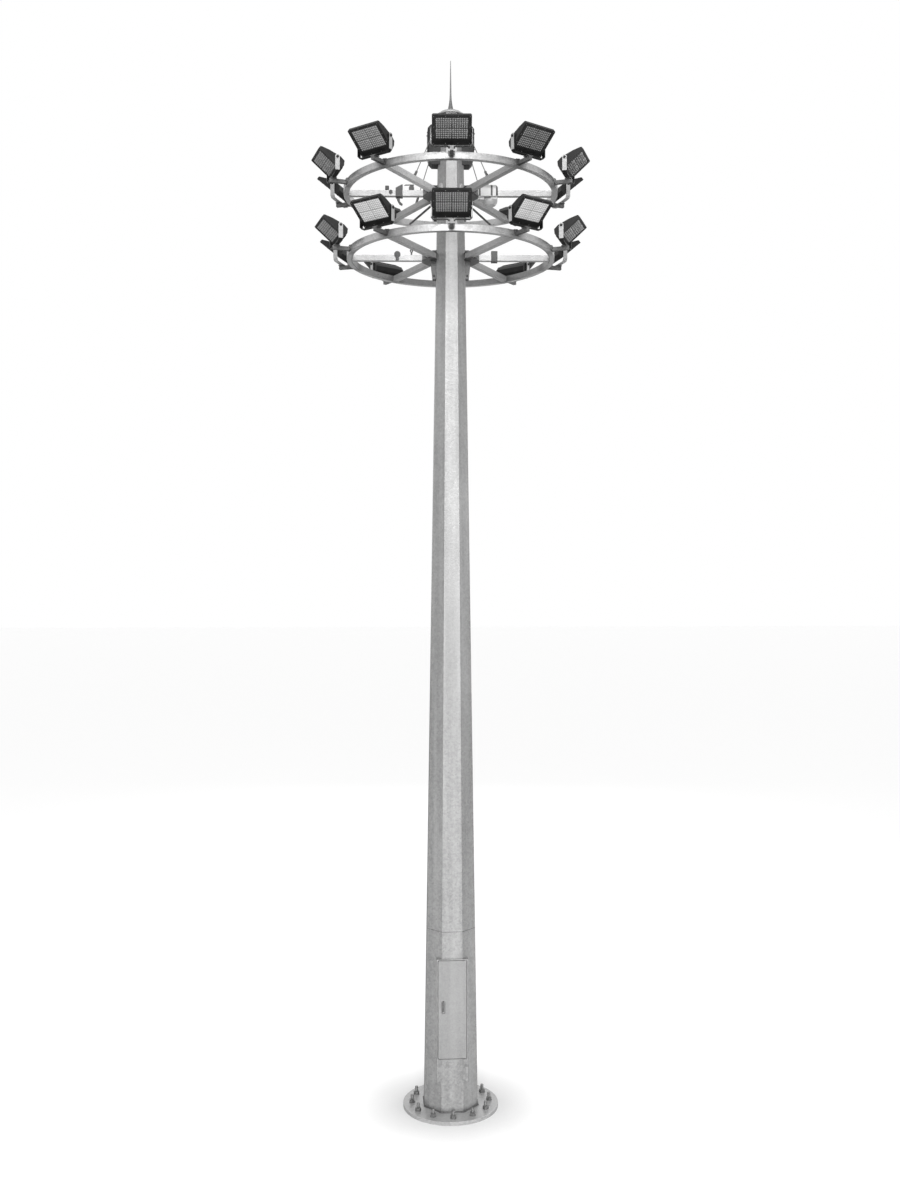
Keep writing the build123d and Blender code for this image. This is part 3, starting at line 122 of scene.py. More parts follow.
class Finish:
    """A material, built node by node round one Principled shader."""

    def __init__(self, name, roughness=0.5, metallic=0.0, **constants):
        self.material = bpy.data.materials.new(name)
        self.material.use_nodes = True
        self.tree = self.material.node_tree
        self.shader = self.tree.nodes["Principled BSDF"]
        self.shader.inputs["Roughness"].default_value = roughness
        self.shader.inputs["Metallic"].default_value = metallic
        for socket, value in constants.items():
            self.shader.inputs[socket.replace("_", " ")].default_value = value
        self.place = self.node("ShaderNodeTexCoord", {}, {}, "Object")

    def node(self, kind, settings, inputs, output=0):
        made = self.tree.nodes.new(kind)
        for setting, value in settings.items():
            setattr(made, setting, value)
        for socket, value in inputs.items():
            if isinstance(value, Signal):
                self.tree.links.new(value.socket, made.inputs[socket])
            else:
                made.inputs[socket].default_value = value
        return Signal(self, made.outputs[output])

    def set(self, **sockets):
        for socket, value in sockets.items():
            self.tree.links.new(value.socket, self.shader.inputs[socket.replace("_", " ")])

    def stretched(self, x, y, z):
        """Object coordinates, multiplied along each axis."""
        return self.node("ShaderNodeMapping", {"vector_type": "POINT"}, {"Vector": self.place, "Scale": (x, y, z)})

    def noise(self, where, scale, detail=4.0, roughness=0.55):
        sockets = {"Vector": where, "Scale": scale, "Detail": detail, "Roughness": roughness}
        return self.node("ShaderNodeTexNoise", {}, sockets)

    def crystals(self, where, scale):
        """A random value for each cell, as the zinc's crystals have."""
        cells = self.node("ShaderNodeTexVoronoi", {}, {"Vector": where, "Scale": scale}, "Color")
        return self.node("ShaderNodeSeparateColor", {}, {"Color": cells}, "Red")

    def ramp(self, value, low, high):
        """0 below low, 1 above high, straight between them."""
        return self.node(
            "ShaderNodeMapRange", {"clamp": True}, {"Value": value, "From Min": low, "From Max": high}
        )

    def maths(self, operation, first, second=0.0):
        return self.node("ShaderNodeMath", {"operation": operation}, {0: first, 1: second})

    def along(self, axis):
        """The point's place along one axis of the tower."""
        return self.node("ShaderNodeSeparateXYZ", {}, {"Vector": self.place}, axis)

    def mix(self, factor, low, high):
        """A colour between two, given as greys or colours or signals."""
        colors = [grey(value) if isinstance(value, (int, float)) else value for value in (low, high)]
        return self.node(
            "ShaderNodeMix", {"data_type": "RGBA"}, {0: factor, 6: colors[0], 7: colors[1]}, 2
        )

    def bump(self, height, distance):
        return self.node("ShaderNodeBump", {}, {"Distance": distance, "Height": height})


def grey(value):
    """A grey as a colour."""
    return (value, value, value, 1.0)


# %% [markdown]
# ## The stage
# The ground is a plain pale floor and the air behind it is white. Only rays that come from the eye, or that
# gloss sends on, see that white; the light that falls on the mast comes from a mild sky and six wide lamps.
# The big lamp stands behind the camera, so that the faces turned to the camera are bright and the slanting ones
# fall away, as on folded steel out of doors. Two small ones light the foot, and the other three the sides and back.
# The floor glows for the eye only, a little less close to the mast, which leaves a soft grey ring round the base: a
# painted shadow.

# %% Floor, sky and lamps
SKY_LEVEL = 0.24
FLOOR_SIZE = 400.0
FLOOR_GREY = 0.5
# The floor's lower glow near the mast is a painted shadow round the base.
FOOT_GLOW, GLOW_RISE = 0.32, 0.46  # the floor's glow at the mast, and what it gains farther out
SHADOW_RING_START, SHADOW_RING_END = 0.55, 1.6  # distances from the axis between which the glow rises

world = bpy.data.worlds.new("sky")
world.use_nodes = True
scene.world = world
sky_nodes = world.node_tree.nodes
sky_links = world.node_tree.links
sky = sky_nodes["Background"]
sky.inputs["Color"].default_value = grey(1.0)
path = sky_nodes.new("ShaderNodeLightPath")
seen = sky_nodes.new("ShaderNodeMath")
seen.operation = "MAXIMUM"
sky_links.new(path.outputs["Is Camera Ray"], seen.inputs[0])
sky_links.new(path.outputs["Is Transmission Ray"], seen.inputs[1])
seen_or_gloss = sky_nodes.new("ShaderNodeMath")
seen_or_gloss.operation = "MAXIMUM"
sky_links.new(seen.outputs[0], seen_or_gloss.inputs[0])
sky_links.new(path.outputs["Is Glossy Ray"], seen_or_gloss.inputs[1])
level = sky_nodes.new("ShaderNodeMapRange")
level.inputs["To Min"].default_value = SKY_LEVEL
level.inputs["To Max"].default_value = 1.0
sky_links.new(seen_or_gloss.outputs[0], level.inputs["Value"])
sky_links.new(level.outputs[0], sky.inputs["Strength"])

bpy.ops.mesh.primitive_plane_add(size=FLOOR_SIZE)
floor = bpy.context.object
floor.name = "floor"
ground = Finish("floor_white", roughness=0.9)
ground.shader.inputs["Base Color"].default_value = grey(FLOOR_GREY)
ground.shader.inputs["Emission Color"].default_value = grey(1.0)
ground_path = ground.node("ShaderNodeLightPath", {}, {}, "Is Camera Ray")
from_axis = ground.node("ShaderNodeVectorMath", {"operation": "LENGTH"}, {"Vector": ground.place}, "Value")
# Painted shadow: the glow rises out of the grey ring round the mast's foot.
glow = ground.ramp(from_axis, SHADOW_RING_START, SHADOW_RING_END) * GLOW_RISE + FOOT_GLOW
ground.tree.links.new((ground_path * glow).socket, ground.shader.inputs["Emission Strength"])
floor.data.materials.append(ground.material)


def soft_lamp(name, azimuth, distance, height, size, power, aim_height):
    """A wide lamp that looks at the mast's axis."""
    place = on_azimuth(radians(azimuth), distance, height)
    bpy.ops.object.light_add(type="AREA", location=place)
    lamp = bpy.context.object
    lamp.name = name
    lamp.data.shape = "RECTANGLE"
    lamp.data.size, lamp.data.size_y = size
    lamp.data.energy = power
    aim = Vector((0, 0, aim_height)) - place
    lamp.rotation_euler = aim.to_track_quat("-Z", "Y").to_euler()


LAMPS = (  # name, azimuth, distance, height, size, power, height it looks at
    ("front_lamp", -4, 26, 16, (9, 22), 6100, 10),
    ("left_foot_lamp", -48, 8, 1.2, (4, 2), 195, 0.2),
    ("right_foot_lamp", 44, 8, 1.2, (4, 2), 260, 0.2),
    ("left_lamp", -118, 22, 10, (8, 8), 450, 10),
    ("right_lamp", 118, 22, 10, (8, 8), 700, 10),
    ("rear_lamp", 176, 26, 13, (9, 14), 600, 9),
)
for settings in LAMPS:
    soft_lamp(*settings)

# %% [markdown]
# ## Galvanised steel
# Nearly everything on the mast is steel that was dipped in molten zinc. New zinc is bright and patterned with
# crystals a couple of centimetres across; after some seasons it greys, keeps soft clouds, and shows pale and dark
# runs where rain finds its way down. The finish is a half-metallic grey: clouds, crystals and runs move its tone
# and roughness a little, and a fine bump breaks the reflection up.


# %% Mix the zinc finishes
CLOUD_SCALE, GRAIN_SCALE = 1.4, 38
SMALL_FLAKE = 2.6  # how many times smaller the small crystals are
SHARES = (0.25, 0.45, 0.2, 0.1)  # of clouds, crystals, small crystals and grain in the tone
BLACK = 0.012


def galvanised(name, dark, pale, metallic, roughness, crystal=0.02, runs=0.0, fine=0.0006, mask=None):
    """A zinc finish; where mask is 0 it fades to nearly black."""
    steel = Finish(name, roughness, metallic)
    clouds = steel.noise(steel.place, CLOUD_SCALE, 5)
    grain = steel.noise(steel.place, GRAIN_SCALE, 3)
    flakes = steel.crystals(steel.place, 1 / crystal)
    small_flakes = steel.crystals(steel.place, SMALL_FLAKE / crystal)
    tone = steel.ramp(clouds, 0.3, 0.7) * SHARES[0] + flakes * SHARES[1]
    tone = tone + small_flakes * SHARES[2] + grain * SHARES[3]
    if runs:
        streak = steel.noise(steel.stretched(9, 9, 0.35), 1.0, 4)
        tone = tone * (1 - runs) + steel.ramp(streak, 0.35, 0.68) * runs
    color = steel.mix(tone, dark, pale)
    if mask:
        color = steel.mix(mask(steel), BLACK, color)
    steel.set(
        Base_Color=color,
        Roughness=roughness + (grain - 0.5) * 0.16 + (flakes - 0.5) * 0.14,
        Normal=steel.bump(grain * 0.6 + flakes * 0.4, fine),
    )
    return steel


fastener_steel = galvanised("fastener_zinc", grey(0.12), grey(0.24), 0.7, 0.42, 0.01)
bracket_steel = galvanised("bracket_zinc", grey(0.06), grey(0.14), 0.6, 0.5)
arm_steel = galvanised("arm_zinc", grey(0.09), grey(0.19), 0.6, 0.45)
door_steel = galvanised("door_zinc", grey(0.28), grey(0.41), 0.36, 0.5, 0.02, 0.3)
fitting_steel = galvanised("fitting_zinc", grey(0.04), grey(0.10), 0.5, 0.5)
cast_grey = galvanised("cast_grey", grey(0.42), grey(0.55), 0.3, 0.5, 0.004)
flange_steel = galvanised("flange_zinc", grey(0.33), grey(0.52), 0.3, 0.48, 0.022)
weld_steel = galvanised("weld_metal", grey(0.06), grey(0.16), 0.8, 0.45, 0.006, fine=0.002)

# %% [markdown]
# ## Finishes that know their place
# Five finishes change over the piece. The shaft is darkest at its foot, a painted contact shade round the weld where
# it meets the flange.
# The rings get painted shadow round the foot of every arm, and the lower one is darker on its inner side too. The
# upper ring's left front spoke is mixed paler than the others, a painted light, and the gear case's straps are dark.
# The yokes of the rear half are bright zinc. On those of the front half black is painted in as shade and as the
# reflection of the black housings, except on the outer side of each arm, so their mask works out how far a point lies
# to the side
# of its own lamp: its angle round the tower is folded into one tenth of a turn, and the distance from the axis times
# that angle's sine is the sideways distance.

# %% Masks for the shaft, yokes, rings and spokes
HEAD_TURN = atan2(joints["tilt_upper_01"]["axis"][1], joints["tilt_upper_01"]["axis"][0])
LAMP_STEP = 2 * pi / 10
YOKE_OUTER = 0.271  # half the width over a yoke's arms
FLANGE_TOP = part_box("base_flange")[1].z


def foot_contact_shade(steel):
    """Painted contact shade: small on the weld, 1 from a hand's width above it, with a ragged edge."""
    ragged = steel.noise(steel.place, 14, 3)
    rise = steel.along("Z") - FLANGE_TOP + (ragged - 0.5) * 0.05
    return steel.ramp(rise, -0.02, 0.075) * 0.75 + 0.25


def reach_and_side(steel):
    """A point's distance from the axis, and how far it lies to the side of its nearest lamp."""
    x, y = steel.along("X"), steel.along("Y")
    turn = steel.maths("ARCTAN2", x, 0 - y) - (HEAD_TURN - LAMP_STEP / 2)
    folded = steel.maths("FLOORED_MODULO", turn, LAMP_STEP) - LAMP_STEP / 2
    reach = steel.maths("SQRT", x * x + y * y)
    return reach, steel.maths("ABSOLUTE", reach * steel.maths("SINE", folded))


def yoke_painted_shade(steel):
    """1 on the outward sides of the yokes' arms and on the rear yokes, 0 where black is painted in as shade and
    reflection.
    """
    reach, side = reach_and_side(steel)
    outer = steel.ramp(side, YOKE_OUTER - 0.005, YOKE_OUTER - 0.001)
    return steel.maths("MAXIMUM", outer, steel.ramp(steel.along("Y"), 0.0, 0.1))


def ring_arm_shadow_and_dark_inner(steel):
    """1 on a ring's outer side, less on the lower ring's inner side, and less round the arms where shadow is painted.
    """
    reach, side = reach_and_side(steel)
    cloud = (steel.noise(steel.place, 9, 3) - 0.5) * 0.06
    out_of_shadow = steel.ramp(side + cloud, 0.02, 0.16) * 0.5 + 0.5
    return out_of_shadow * (steel.ramp(reach, RING_INNER + 0.004, RING_INNER + 0.03) * 0.5 + 0.5)


def painted_light_spoke(steel):
    """1 on the upper ring's left front spoke, where light is painted, less on the others."""
    left = steel.ramp(steel.along("X"), -0.1, -0.25) * steel.ramp(steel.along("Y"), -0.1, -0.25)
    return left * steel.ramp(steel.along("Z"), RING_GAP - 0.05, RING_GAP + 0.05) * 0.4 + 0.6


# %% Mix the finishes that use the masks
RING_GAP = (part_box("upper_ring")[0].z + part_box("lower_ring")[1].z) / 2  # a height between the rings
RING_INNER = 1.404  # the lower ring's inner radius
# The ring's mask paints shadow round the arms, the spoke's paints light on one spoke, the shaft's paints contact
# shade at its foot.
ring_steel = galvanised("ring_zinc", grey(0.40), grey(0.64), 0.75, 0.36, mask=ring_arm_shadow_and_dark_inner)
spoke_steel = galvanised("spoke_zinc", grey(0.50), grey(0.83), 0.4, 0.42, mask=painted_light_spoke)
shaft_steel = galvanised("shaft_zinc", grey(0.22), grey(0.49), 0.52, 0.5, 0.026, 0.3, mask=foot_contact_shade)
print("ring gap at", round(RING_GAP, 3))

# %% Mask the gear case and mix the last two
CASE_STRAPS = (0.0, 0.170, 0.248)  # starts of the straps, from the case's near end
STRAP_HALF = 0.012
case_low, case_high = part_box("gear_case")


def between_straps(steel):
    """0 on the gear case's straps and its breather, 1 elsewhere."""
    along = steel.along("X") - case_low.x
    clear = steel.ramp(steel.along("Z"), case_high.z - 0.014, case_high.z - 0.018)
    for strap in CASE_STRAPS:
        off = steel.maths("ABSOLUTE", along - (strap + STRAP_HALF))
        clear = clear * steel.ramp(off, STRAP_HALF, STRAP_HALF + 0.002)
    bowl = steel.ramp(steel.along("Z"), case_low.z + 0.14, case_low.z + 0.135)
    return steel.maths("MAXIMUM", clear, bowl) * 0.93 + 0.07


case_grey = galvanised("case_grey", grey(0.50), grey(0.64), 0.2, 0.45, 0.004, mask=between_straps)
# The yokes' mask paints black shade and the reflection of the housings on the front half.
yoke_steel = galvanised("yoke_zinc", grey(0.42), grey(0.58), 0.5, 0.4, 0.015, mask=yoke_painted_shade)
print("finishes:", len(bpy.data.materials))

# %% [markdown]
# ## Black powder coat
# The lamp housings are die-cast and powder coated: black, slightly orange-peeled, with a dull gloss that only
# shows along edges. The two boxes under the cap get the same coat.

# %% Mix the powder coat
housing_black = Finish("housing_black", roughness=0.45, Specular_IOR_Level=0.3)
peel = housing_black.noise(housing_black.place, 420, 2)
dust = housing_black.noise(housing_black.place, 6, 4)
housing_black.set(
    Base_Color=housing_black.mix(housing_black.ramp(dust, 0.4, 0.8), grey(0.013), grey(0.028)),
    Roughness=0.42 + dust * 0.12,
    Normal=housing_black.bump(peel, 0.0004),
)

# %% [markdown]
# ## Lens plates
# Each lamp has four clear plastic plates with rows of small domes, one over each light-emitting chip. Clear
# plastic over the board looks grey with a soft gloss on it. The plates get three tones of painted reflection: dark in
# the two front lamps and the upper ring's next two on the right, pale in the two beside the lower front lamp, where a
# painted highlight stands for the light their lenses catch, and one between these in the rest.

# %% Mix the plate and lens finishes
def lens_finish(name, dark, pale):
    """A glossy plastic between two greys."""
    plastic = Finish(name, roughness=0.25, Coat_Weight=0.3, Coat_Roughness=0.1)
    speckle = plastic.noise(plastic.place, 140, 2)
    plastic.set(Base_Color=plastic.mix(speckle, dark, pale), Roughness=0.2 + speckle * 0.14)
    return plastic


# Tones of painted reflection for the plates and domes.
LENS_TONES = {
    "dark": (lens_finish("plate_dark", 0.03, 0.08), lens_finish("lens_dark", 0.22, 0.38)),
    "middle": (lens_finish("plate_middle", 0.12, 0.20), lens_finish("lens_middle", 0.36, 0.52)),
    "pale": (lens_finish("plate_pale", 0.50, 0.62), lens_finish("lens_pale", 0.84, 0.95)),
}

# %% Hand the finishes to the frame's nodes
FINISHES = {
    "shaft_lower": shaft_steel,
    "shaft_upper": shaft_steel,
    "shaft_cap": cast_grey,
    "base_flange": flange_steel,
    "door_frame": shaft_steel,
    "door_leaf": door_steel,
    "door_handle": fastener_steel,
    "anchor_nuts": fastener_steel,
    "stays": fastener_steel,
    "stay_lugs": fastener_steel,
    "lightning_rod": fastener_steel,
    "cable_hoods": cast_grey,
    "gear_case": case_grey,
    "spoke_fittings": fitting_steel,
    "upper_rear_braces": bracket_steel,
    "head_boxes": housing_black,
}
PATTERNS = (
    ("_brackets", bracket_steel),
    ("_ring", ring_steel),
    ("_spokes", spoke_steel),
    ("_arms", arm_steel),
    ("_yokes", yoke_steel),
)


def finish_of(name):
    """The finish of one of the frame's nodes."""
    if name.startswith("floodlight"):
        return housing_black
    for ending, finish in PATTERNS:
        if name.endswith(ending):
            return finish
    return FINISHES[name]


def put_on(piece, *finishes):
    """Gives a piece these finishes in its material slots."""
    piece.data.materials.clear()
    for finish in finishes:
        piece.data.materials.append(finish.material)


for name, node in nodes.items():
    put_on(node, finish_of(name))
print("finished nodes:", len(nodes))

# %% [markdown]
# ## Tools for the small pieces
# A small piece starts as a primitive that is added alone, is shaped in edit mode, and ends with its place in its
# mesh, so that its object sits at the origin. Faces are picked in code by their centre and normal. What repeats
# is modelled once and copied with a matrix, each copy with a mesh of its own, and the copies are joined.


# %% Modelling helpers
def start(name, primitive, **settings):
    """Adds a primitive alone, with its place in its mesh."""
    bpy.ops.object.select_all(action="DESELECT")
    primitive(**settings)
    piece = bpy.context.object
    piece.name = piece.data.name = name
    bpy.ops.object.transform_apply(location=True, rotation=True, scale=True)
    return piece


def pick(piece, test):
    """Opens the piece in edit mode with just the faces selected whose centre and normal pass the test."""
    bpy.ops.object.select_all(action="DESELECT")
    piece.select_set(True)
    bpy.context.view_layer.objects.active = piece
    bpy.ops.object.mode_set(mode="EDIT")
    bpy.ops.mesh.select_mode(type="FACE")
    bpy.ops.mesh.select_all(action="DESELECT")
    bpy.ops.object.mode_set(mode="OBJECT")
    for face in piece.data.polygons:
        face.select = bool(test(face.center, face.normal))
    bpy.ops.object.mode_set(mode="EDIT")


def pick_edges(piece, test):
    """The same for the edges whose two ends pass the test."""
    pick(piece, lambda centre, normal: False)
    bpy.ops.mesh.select_mode(type="EDGE")
    bpy.ops.object.mode_set(mode="OBJECT")
    points = piece.data.vertices
    for edge in piece.data.edges:
        edge.select = test(*(points[index].co for index in edge.vertices))
    bpy.ops.object.mode_set(mode="EDIT")


def done():
    bpy.ops.object.mode_set(mode="OBJECT")


def pull_out(step, factor=(1, 1, 1), about=(0, 0, 0)):
    """Extrudes the selected faces by a step and resizes them about a point."""
    bpy.ops.mesh.extrude_region_move(TRANSFORM_OT_translate={"value": step})
    bpy.ops.transform.resize(value=factor, center_override=about)


def modify(piece, kind, **settings):
    """Adds a modifier and applies it."""
    bpy.ops.object.select_all(action="DESELECT")
    piece.select_set(True)
    bpy.context.view_layer.objects.active = piece
    modifier = piece.modifiers.new(kind.lower(), kind)
    for setting, value in settings.items():
        setattr(modifier, setting, value)
    bpy.ops.object.modifier_apply(modifier=modifier.name)


def rounded(piece, width, segments=2):
    modify(piece, "BEVEL", width=width, segments=segments, limit_method="ANGLE", angle_limit=radians(40))
    return piece


def copy_at(source, matrix):
    """A copy with its own mesh, moved by the matrix."""
    made = source.copy()
    made.data = source.data.copy()
    scene.collection.objects.link(made)
    made.data.transform(matrix)
    return made


def joined(name, parts):
    """Joins pieces into one."""
    bpy.ops.object.select_all(action="DESELECT")
    for part in parts:
        part.select_set(True)
    bpy.context.view_layer.objects.active = parts[0]
    bpy.ops.object.join()
    parts[0].name = parts[0].data.name = name
    return parts[0]


def copies(name, source, places, body, finish=None):
    """Copies a model to each place, joins the copies and lets them ride on a body."""
    piece = joined(name, [copy_at(source, place) for place in places])
    if finish:
        put_on(piece, finish)
    bpy.ops.object.shade_smooth_by_angle(angle=radians(35))
    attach(piece, body)
    print(name, "faces:", len(piece.data.polygons))
    return piece


def discard(*models):
    for model in models:
        bpy.data.objects.remove(model)


def turned(azimuth, radius, height):
    """The frame of a point on the tower: local -Y looks outwards at this azimuth."""
    return Matrix.Rotation(azimuth, 4, "Z") @ Matrix.Translation((0, -radius, height))


print("helpers ready")

# %% [markdown]
# ## Lens plates of the floodlights
# The plates are modelled once for a lamp whose pivot is at the origin and whose face looks along -Y, because a
# tilt is then one turn about X. One dome is a ten-sided disc pulled out twice; two Array modifiers lay out seven
# by five of them on a plate, and four plates fill the window.

# %% Model one lens plate
LENS_COLUMNS, LENS_ROWS = 7, 5
PLATE_WIDTH, PLATE_HEIGHT = 0.207, 0.143
PLATE_THICKNESS = 0.004
PLATE_FRONT = -0.0912
WINDOW_CENTER_Z = 0.077
PLATE_OFFSET_X, PLATE_OFFSET_Z = 0.1045, 0.0725
LENS_RADIUS = 0.0105
PLATE_MARGIN = 0.006
lens_step_x = (PLATE_WIDTH - PLATE_MARGIN) / LENS_COLUMNS
lens_step_z = (PLATE_HEIGHT - PLATE_MARGIN) / LENS_ROWS
first_x = -lens_step_x * (LENS_COLUMNS - 1) / 2
first_z = -lens_step_z * (LENS_ROWS - 1) / 2

lens = start(
    "lens",
    bpy.ops.mesh.primitive_cylinder_add,
    vertices=10,
    radius=LENS_RADIUS,
    depth=0.001,
    location=(first_x, PLATE_FRONT, first_z),
    rotation=(pi / 2, 0, 0),
)
pick(lens, lambda centre, normal: normal.y < -0.9)
pull_out((0, -0.0012, 0), (0.86, 1, 0.86), (first_x, PLATE_FRONT, first_z))
pull_out((0, -0.0009, 0), (0.5, 1, 0.5), (first_x, PLATE_FRONT, first_z))
done()
put_on(lens, LENS_TONES["middle"][1])
for count, step in ((LENS_COLUMNS, (lens_step_x, 0, 0)), (LENS_ROWS, (0, 0, lens_step_z))):
    offset = {"use_relative_offset": False, "use_constant_offset": True, "constant_offset_displace": step}
    modify(lens, "ARRAY", count=count, **offset)

plate = start(
    "plate",
    bpy.ops.mesh.primitive_cube_add,
    size=1,
    location=(0, PLATE_FRONT + PLATE_THICKNESS / 2, 0),
    scale=(PLATE_WIDTH, PLATE_THICKNESS, PLATE_HEIGHT),
)
rounded(plate, 0.0015)
put_on(plate, LENS_TONES["middle"][0])
lens_plate = joined("lens_plate", [plate, lens])
print("lens plate faces:", len(lens_plate.data.polygons))

# %% Put four plates on every floodlight
LAMP_TILT = radians(50)
lamp_plates = joined(
    "lamp_plates",
    [
        copy_at(lens_plate, Matrix.Translation((side * PLATE_OFFSET_X, 0, WINDOW_CENTER_Z + rise * PLATE_OFFSET_Z)))
        for side in (-1, 1)
        for rise in (-1, 1)
    ],
)
tilt_joints = {name: joint for name, joint in joints.items() if name.startswith("tilt_")}


def lamp_place(joint):
    """Where a lamp stands: its pivot, its turn round the tower and its tilt."""
    turn = atan2(joint["axis"][1], joint["axis"][0])
    return Matrix.Translation(joint["pos_m"]) @ Matrix.Rotation(turn, 4, "Z") @ Matrix.Rotation(LAMP_TILT, 4, "X")


# Painted reflection: each lamp's plate and lens tone stands in for the light its lenses catch.
REFLECTION_TONE_OF_LAMP = {
    "tilt_upper_01": "dark",
    "tilt_lower_01": "dark",
    "tilt_upper_02": "dark",
    "tilt_upper_03": "dark",
    "tilt_lower_02": "pale",
    "tilt_lower_10": "pale",
}
for name, joint in tilt_joints.items():
    lamp = name.replace("tilt", "floodlight")
    plates = copies(name.replace("tilt", "lens_plates"), lamp_plates, [lamp_place(joint)], lamp)
    for slot, finish in enumerate(LENS_TONES[REFLECTION_TONE_OF_LAMP.get(name, "middle")]):
        plates.data.materials[slot] = finish.material
discard(lens_plate, lamp_plates)

# %% [markdown]
# ## Bezel screws
# The bezel is held by small pan-head screws along its rim. Each head is a twelve-sided disc with a sloping edge and
# a round dimple: one pull outwards, one inset and one pull inwards, which is enough at this size.

# %% Model a bezel screw and place them
BEZEL_FACE = -0.094
SCREW_RADIUS = 0.0062
screw = start(
    "screw",
    bpy.ops.mesh.primitive_cylinder_add,
    vertices=12,
    radius=SCREW_RADIUS,
    depth=0.003,
    location=(0, BEZEL_FACE - 0.0005, 0),
    rotation=(pi / 2, 0, 0),
)
pick(screw, lambda centre, normal: normal.y < -0.9)
pull_out((0, -0.0012, 0), (0.72, 1, 0.72))
pull_out((0, 0, 0), (0.45, 1, 0.45))
pull_out((0, 0.0012, 0), (0.6, 1, 0.6))
done()
side_screws = [(x, z) for x in (-0.232, 0.232) for z in (-0.128, -0.02, 0.095, 0.236)]
rim_screws = [(x, z) for x in (-0.08, 0.08) for z in (-0.128, 0.239)]
screw_places = [Matrix.Translation((x, 0, z)) for x, z in side_screws + rim_screws]
for name, joint in tilt_joints.items():
    lamp = name.replace("tilt", "floodlight")
    place = lamp_place(joint)
    copies(name.replace("tilt", "bezel_screws"), screw, [place @ spot for spot in screw_places], lamp, fastener_steel)
discard(screw)

# %% [markdown]
# ## Welds of the shaft
# The shaft is welded to its flange all round, and its two lengths meet in a flat butt weld. A weld bead is an
# eight-sided torus whose corners follow the shaft's, cut into many short lengths and puffed up and down a little,
# as the welder's steps leave it.


# %% Model the weld beads
def weld_bead(name, height, flats, thickness, ripple):
    """A bead round the shaft at this height, where it is this wide across the flats."""
    corner = flats / 2 / cos(pi / 8)
    bead = start(
        name,
        bpy.ops.mesh.primitive_torus_add,
        major_segments=8,
        minor_segments=8,
        major_radius=corner,
        minor_radius=thickness,
        location=(0, 0, height),
        rotation=(0, 0, pi / 8),
    )
    pick_edges(bead, lambda start, end: (start - end).length > 4 * thickness)
    bpy.ops.mesh.subdivide(number_cuts=30)
    done()
    clouds = bpy.data.textures.new(name, "CLOUDS")
    clouds.noise_scale = 0.03
    modify(bead, "DISPLACE", texture=clouds, texture_coords="GLOBAL", strength=ripple, mid_level=0.5)
    put_on(bead, weld_steel)
    bpy.ops.object.shade_smooth_by_angle(angle=radians(50))
    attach(bead, "tower")
    print(name, "faces:", len(bead.data.polygons))
    return bead


lower_box, upper_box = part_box("shaft_lower"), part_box("shaft_upper")
foot_flats = lower_box[1].x - lower_box[0].x
joint_flats = upper_box[1].x - upper_box[0].x
weld_bead("foot_weld", FLANGE_TOP + 0.004, foot_flats + 0.004, 0.013, 0.006)
weld_bead("shaft_weld", upper_box[0].z, joint_flats - 0.006, 0.0045, 0.003)

# %% [markdown]
# ## Bolts
# A bolt head is a six-sided disc with a chamfer on top, sitting on a round washer. One is modelled along +Z with
# its washer at the origin, and every place below is a matrix that turns Z to where the bolt looks.


# %% Model a hexagon bolt with its washer
def hex_bolt(across_flats, head, washer):
    """A bolt's head and washer, standing up from the origin."""
    radius = across_flats / 2 / cos(pi / 6)
    cylinder = bpy.ops.mesh.primitive_cylinder_add
    disc = start(
        "washer", cylinder, vertices=20, radius=across_flats * 0.92, depth=washer, location=(0, 0, washer / 2)
    )
    rounded(disc, washer * 0.25, 1)
    head_place = (0, 0, washer + head * 0.41)
    head_disc = start("head", cylinder, vertices=6, radius=radius, depth=head * 0.82, location=head_place)
    pick(head_disc, lambda centre, normal: normal.z > 0.9)
    pull_out((0, 0, head * 0.18), (0.86, 0.86, 1))
    done()
    return joined("bolt", [disc, head_disc])


bolt = hex_bolt(0.024, 0.012, 0.003)
small_bolt = hex_bolt(0.014, 0.007, 0.002)
LOOK_OUT = Matrix.Rotation(pi / 2, 4, "X")  # turns +Z to -Y
LOOK_SIDE = Matrix.Rotation(pi / 2, 4, "Y")  # turns +Z to +X
upper_axes = [joint["axis"] for name, joint in tilt_joints.items() if "upper" in name]
lamp_turns = sorted(atan2(axis[1], axis[0]) for axis in upper_axes)
print("bolt faces:", len(bolt.data.polygons), "lamps per ring:", len(lamp_turns))

# %% [markdown]
# Each arm hooks over its ring with a saddle, and two bolts go through the saddle's outer face into the ring,
# one on each side of the arm. Their places come from the ring's outer radius and mid-height, which are read from
# the frame, and from the saddle's thickness.

# %% Bolt the arms to the rings
SADDLE = 0.008
SADDLE_BOLT_X = 0.035
SADDLE_BOLT_RISE = 0.022  # above the ring's mid-height
for level in ("upper", "lower"):
    low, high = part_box(f"{level}_ring")
    outer, middle = (high.x - low.x) / 2, (low.z + high.z) / 2
    places = [
        turned(turn, outer + SADDLE, middle + SADDLE_BOLT_RISE)
        @ Matrix.Translation((side * SADDLE_BOLT_X, 0, 0))
        @ LOOK_OUT
        for turn in lamp_turns
        for side in (-1, 1)
    ]
    copies(f"{level}_arm_bolts", small_bolt, places, "tower", fastener_steel)
    print(level, "ring: outer", round(outer, 4), "middle", round(middle, 4))

# %% [markdown]
# The fan plates of the four brackets clasp the spokes. Four bolts stand on each upper plate, two near the shaft and
# two further out.

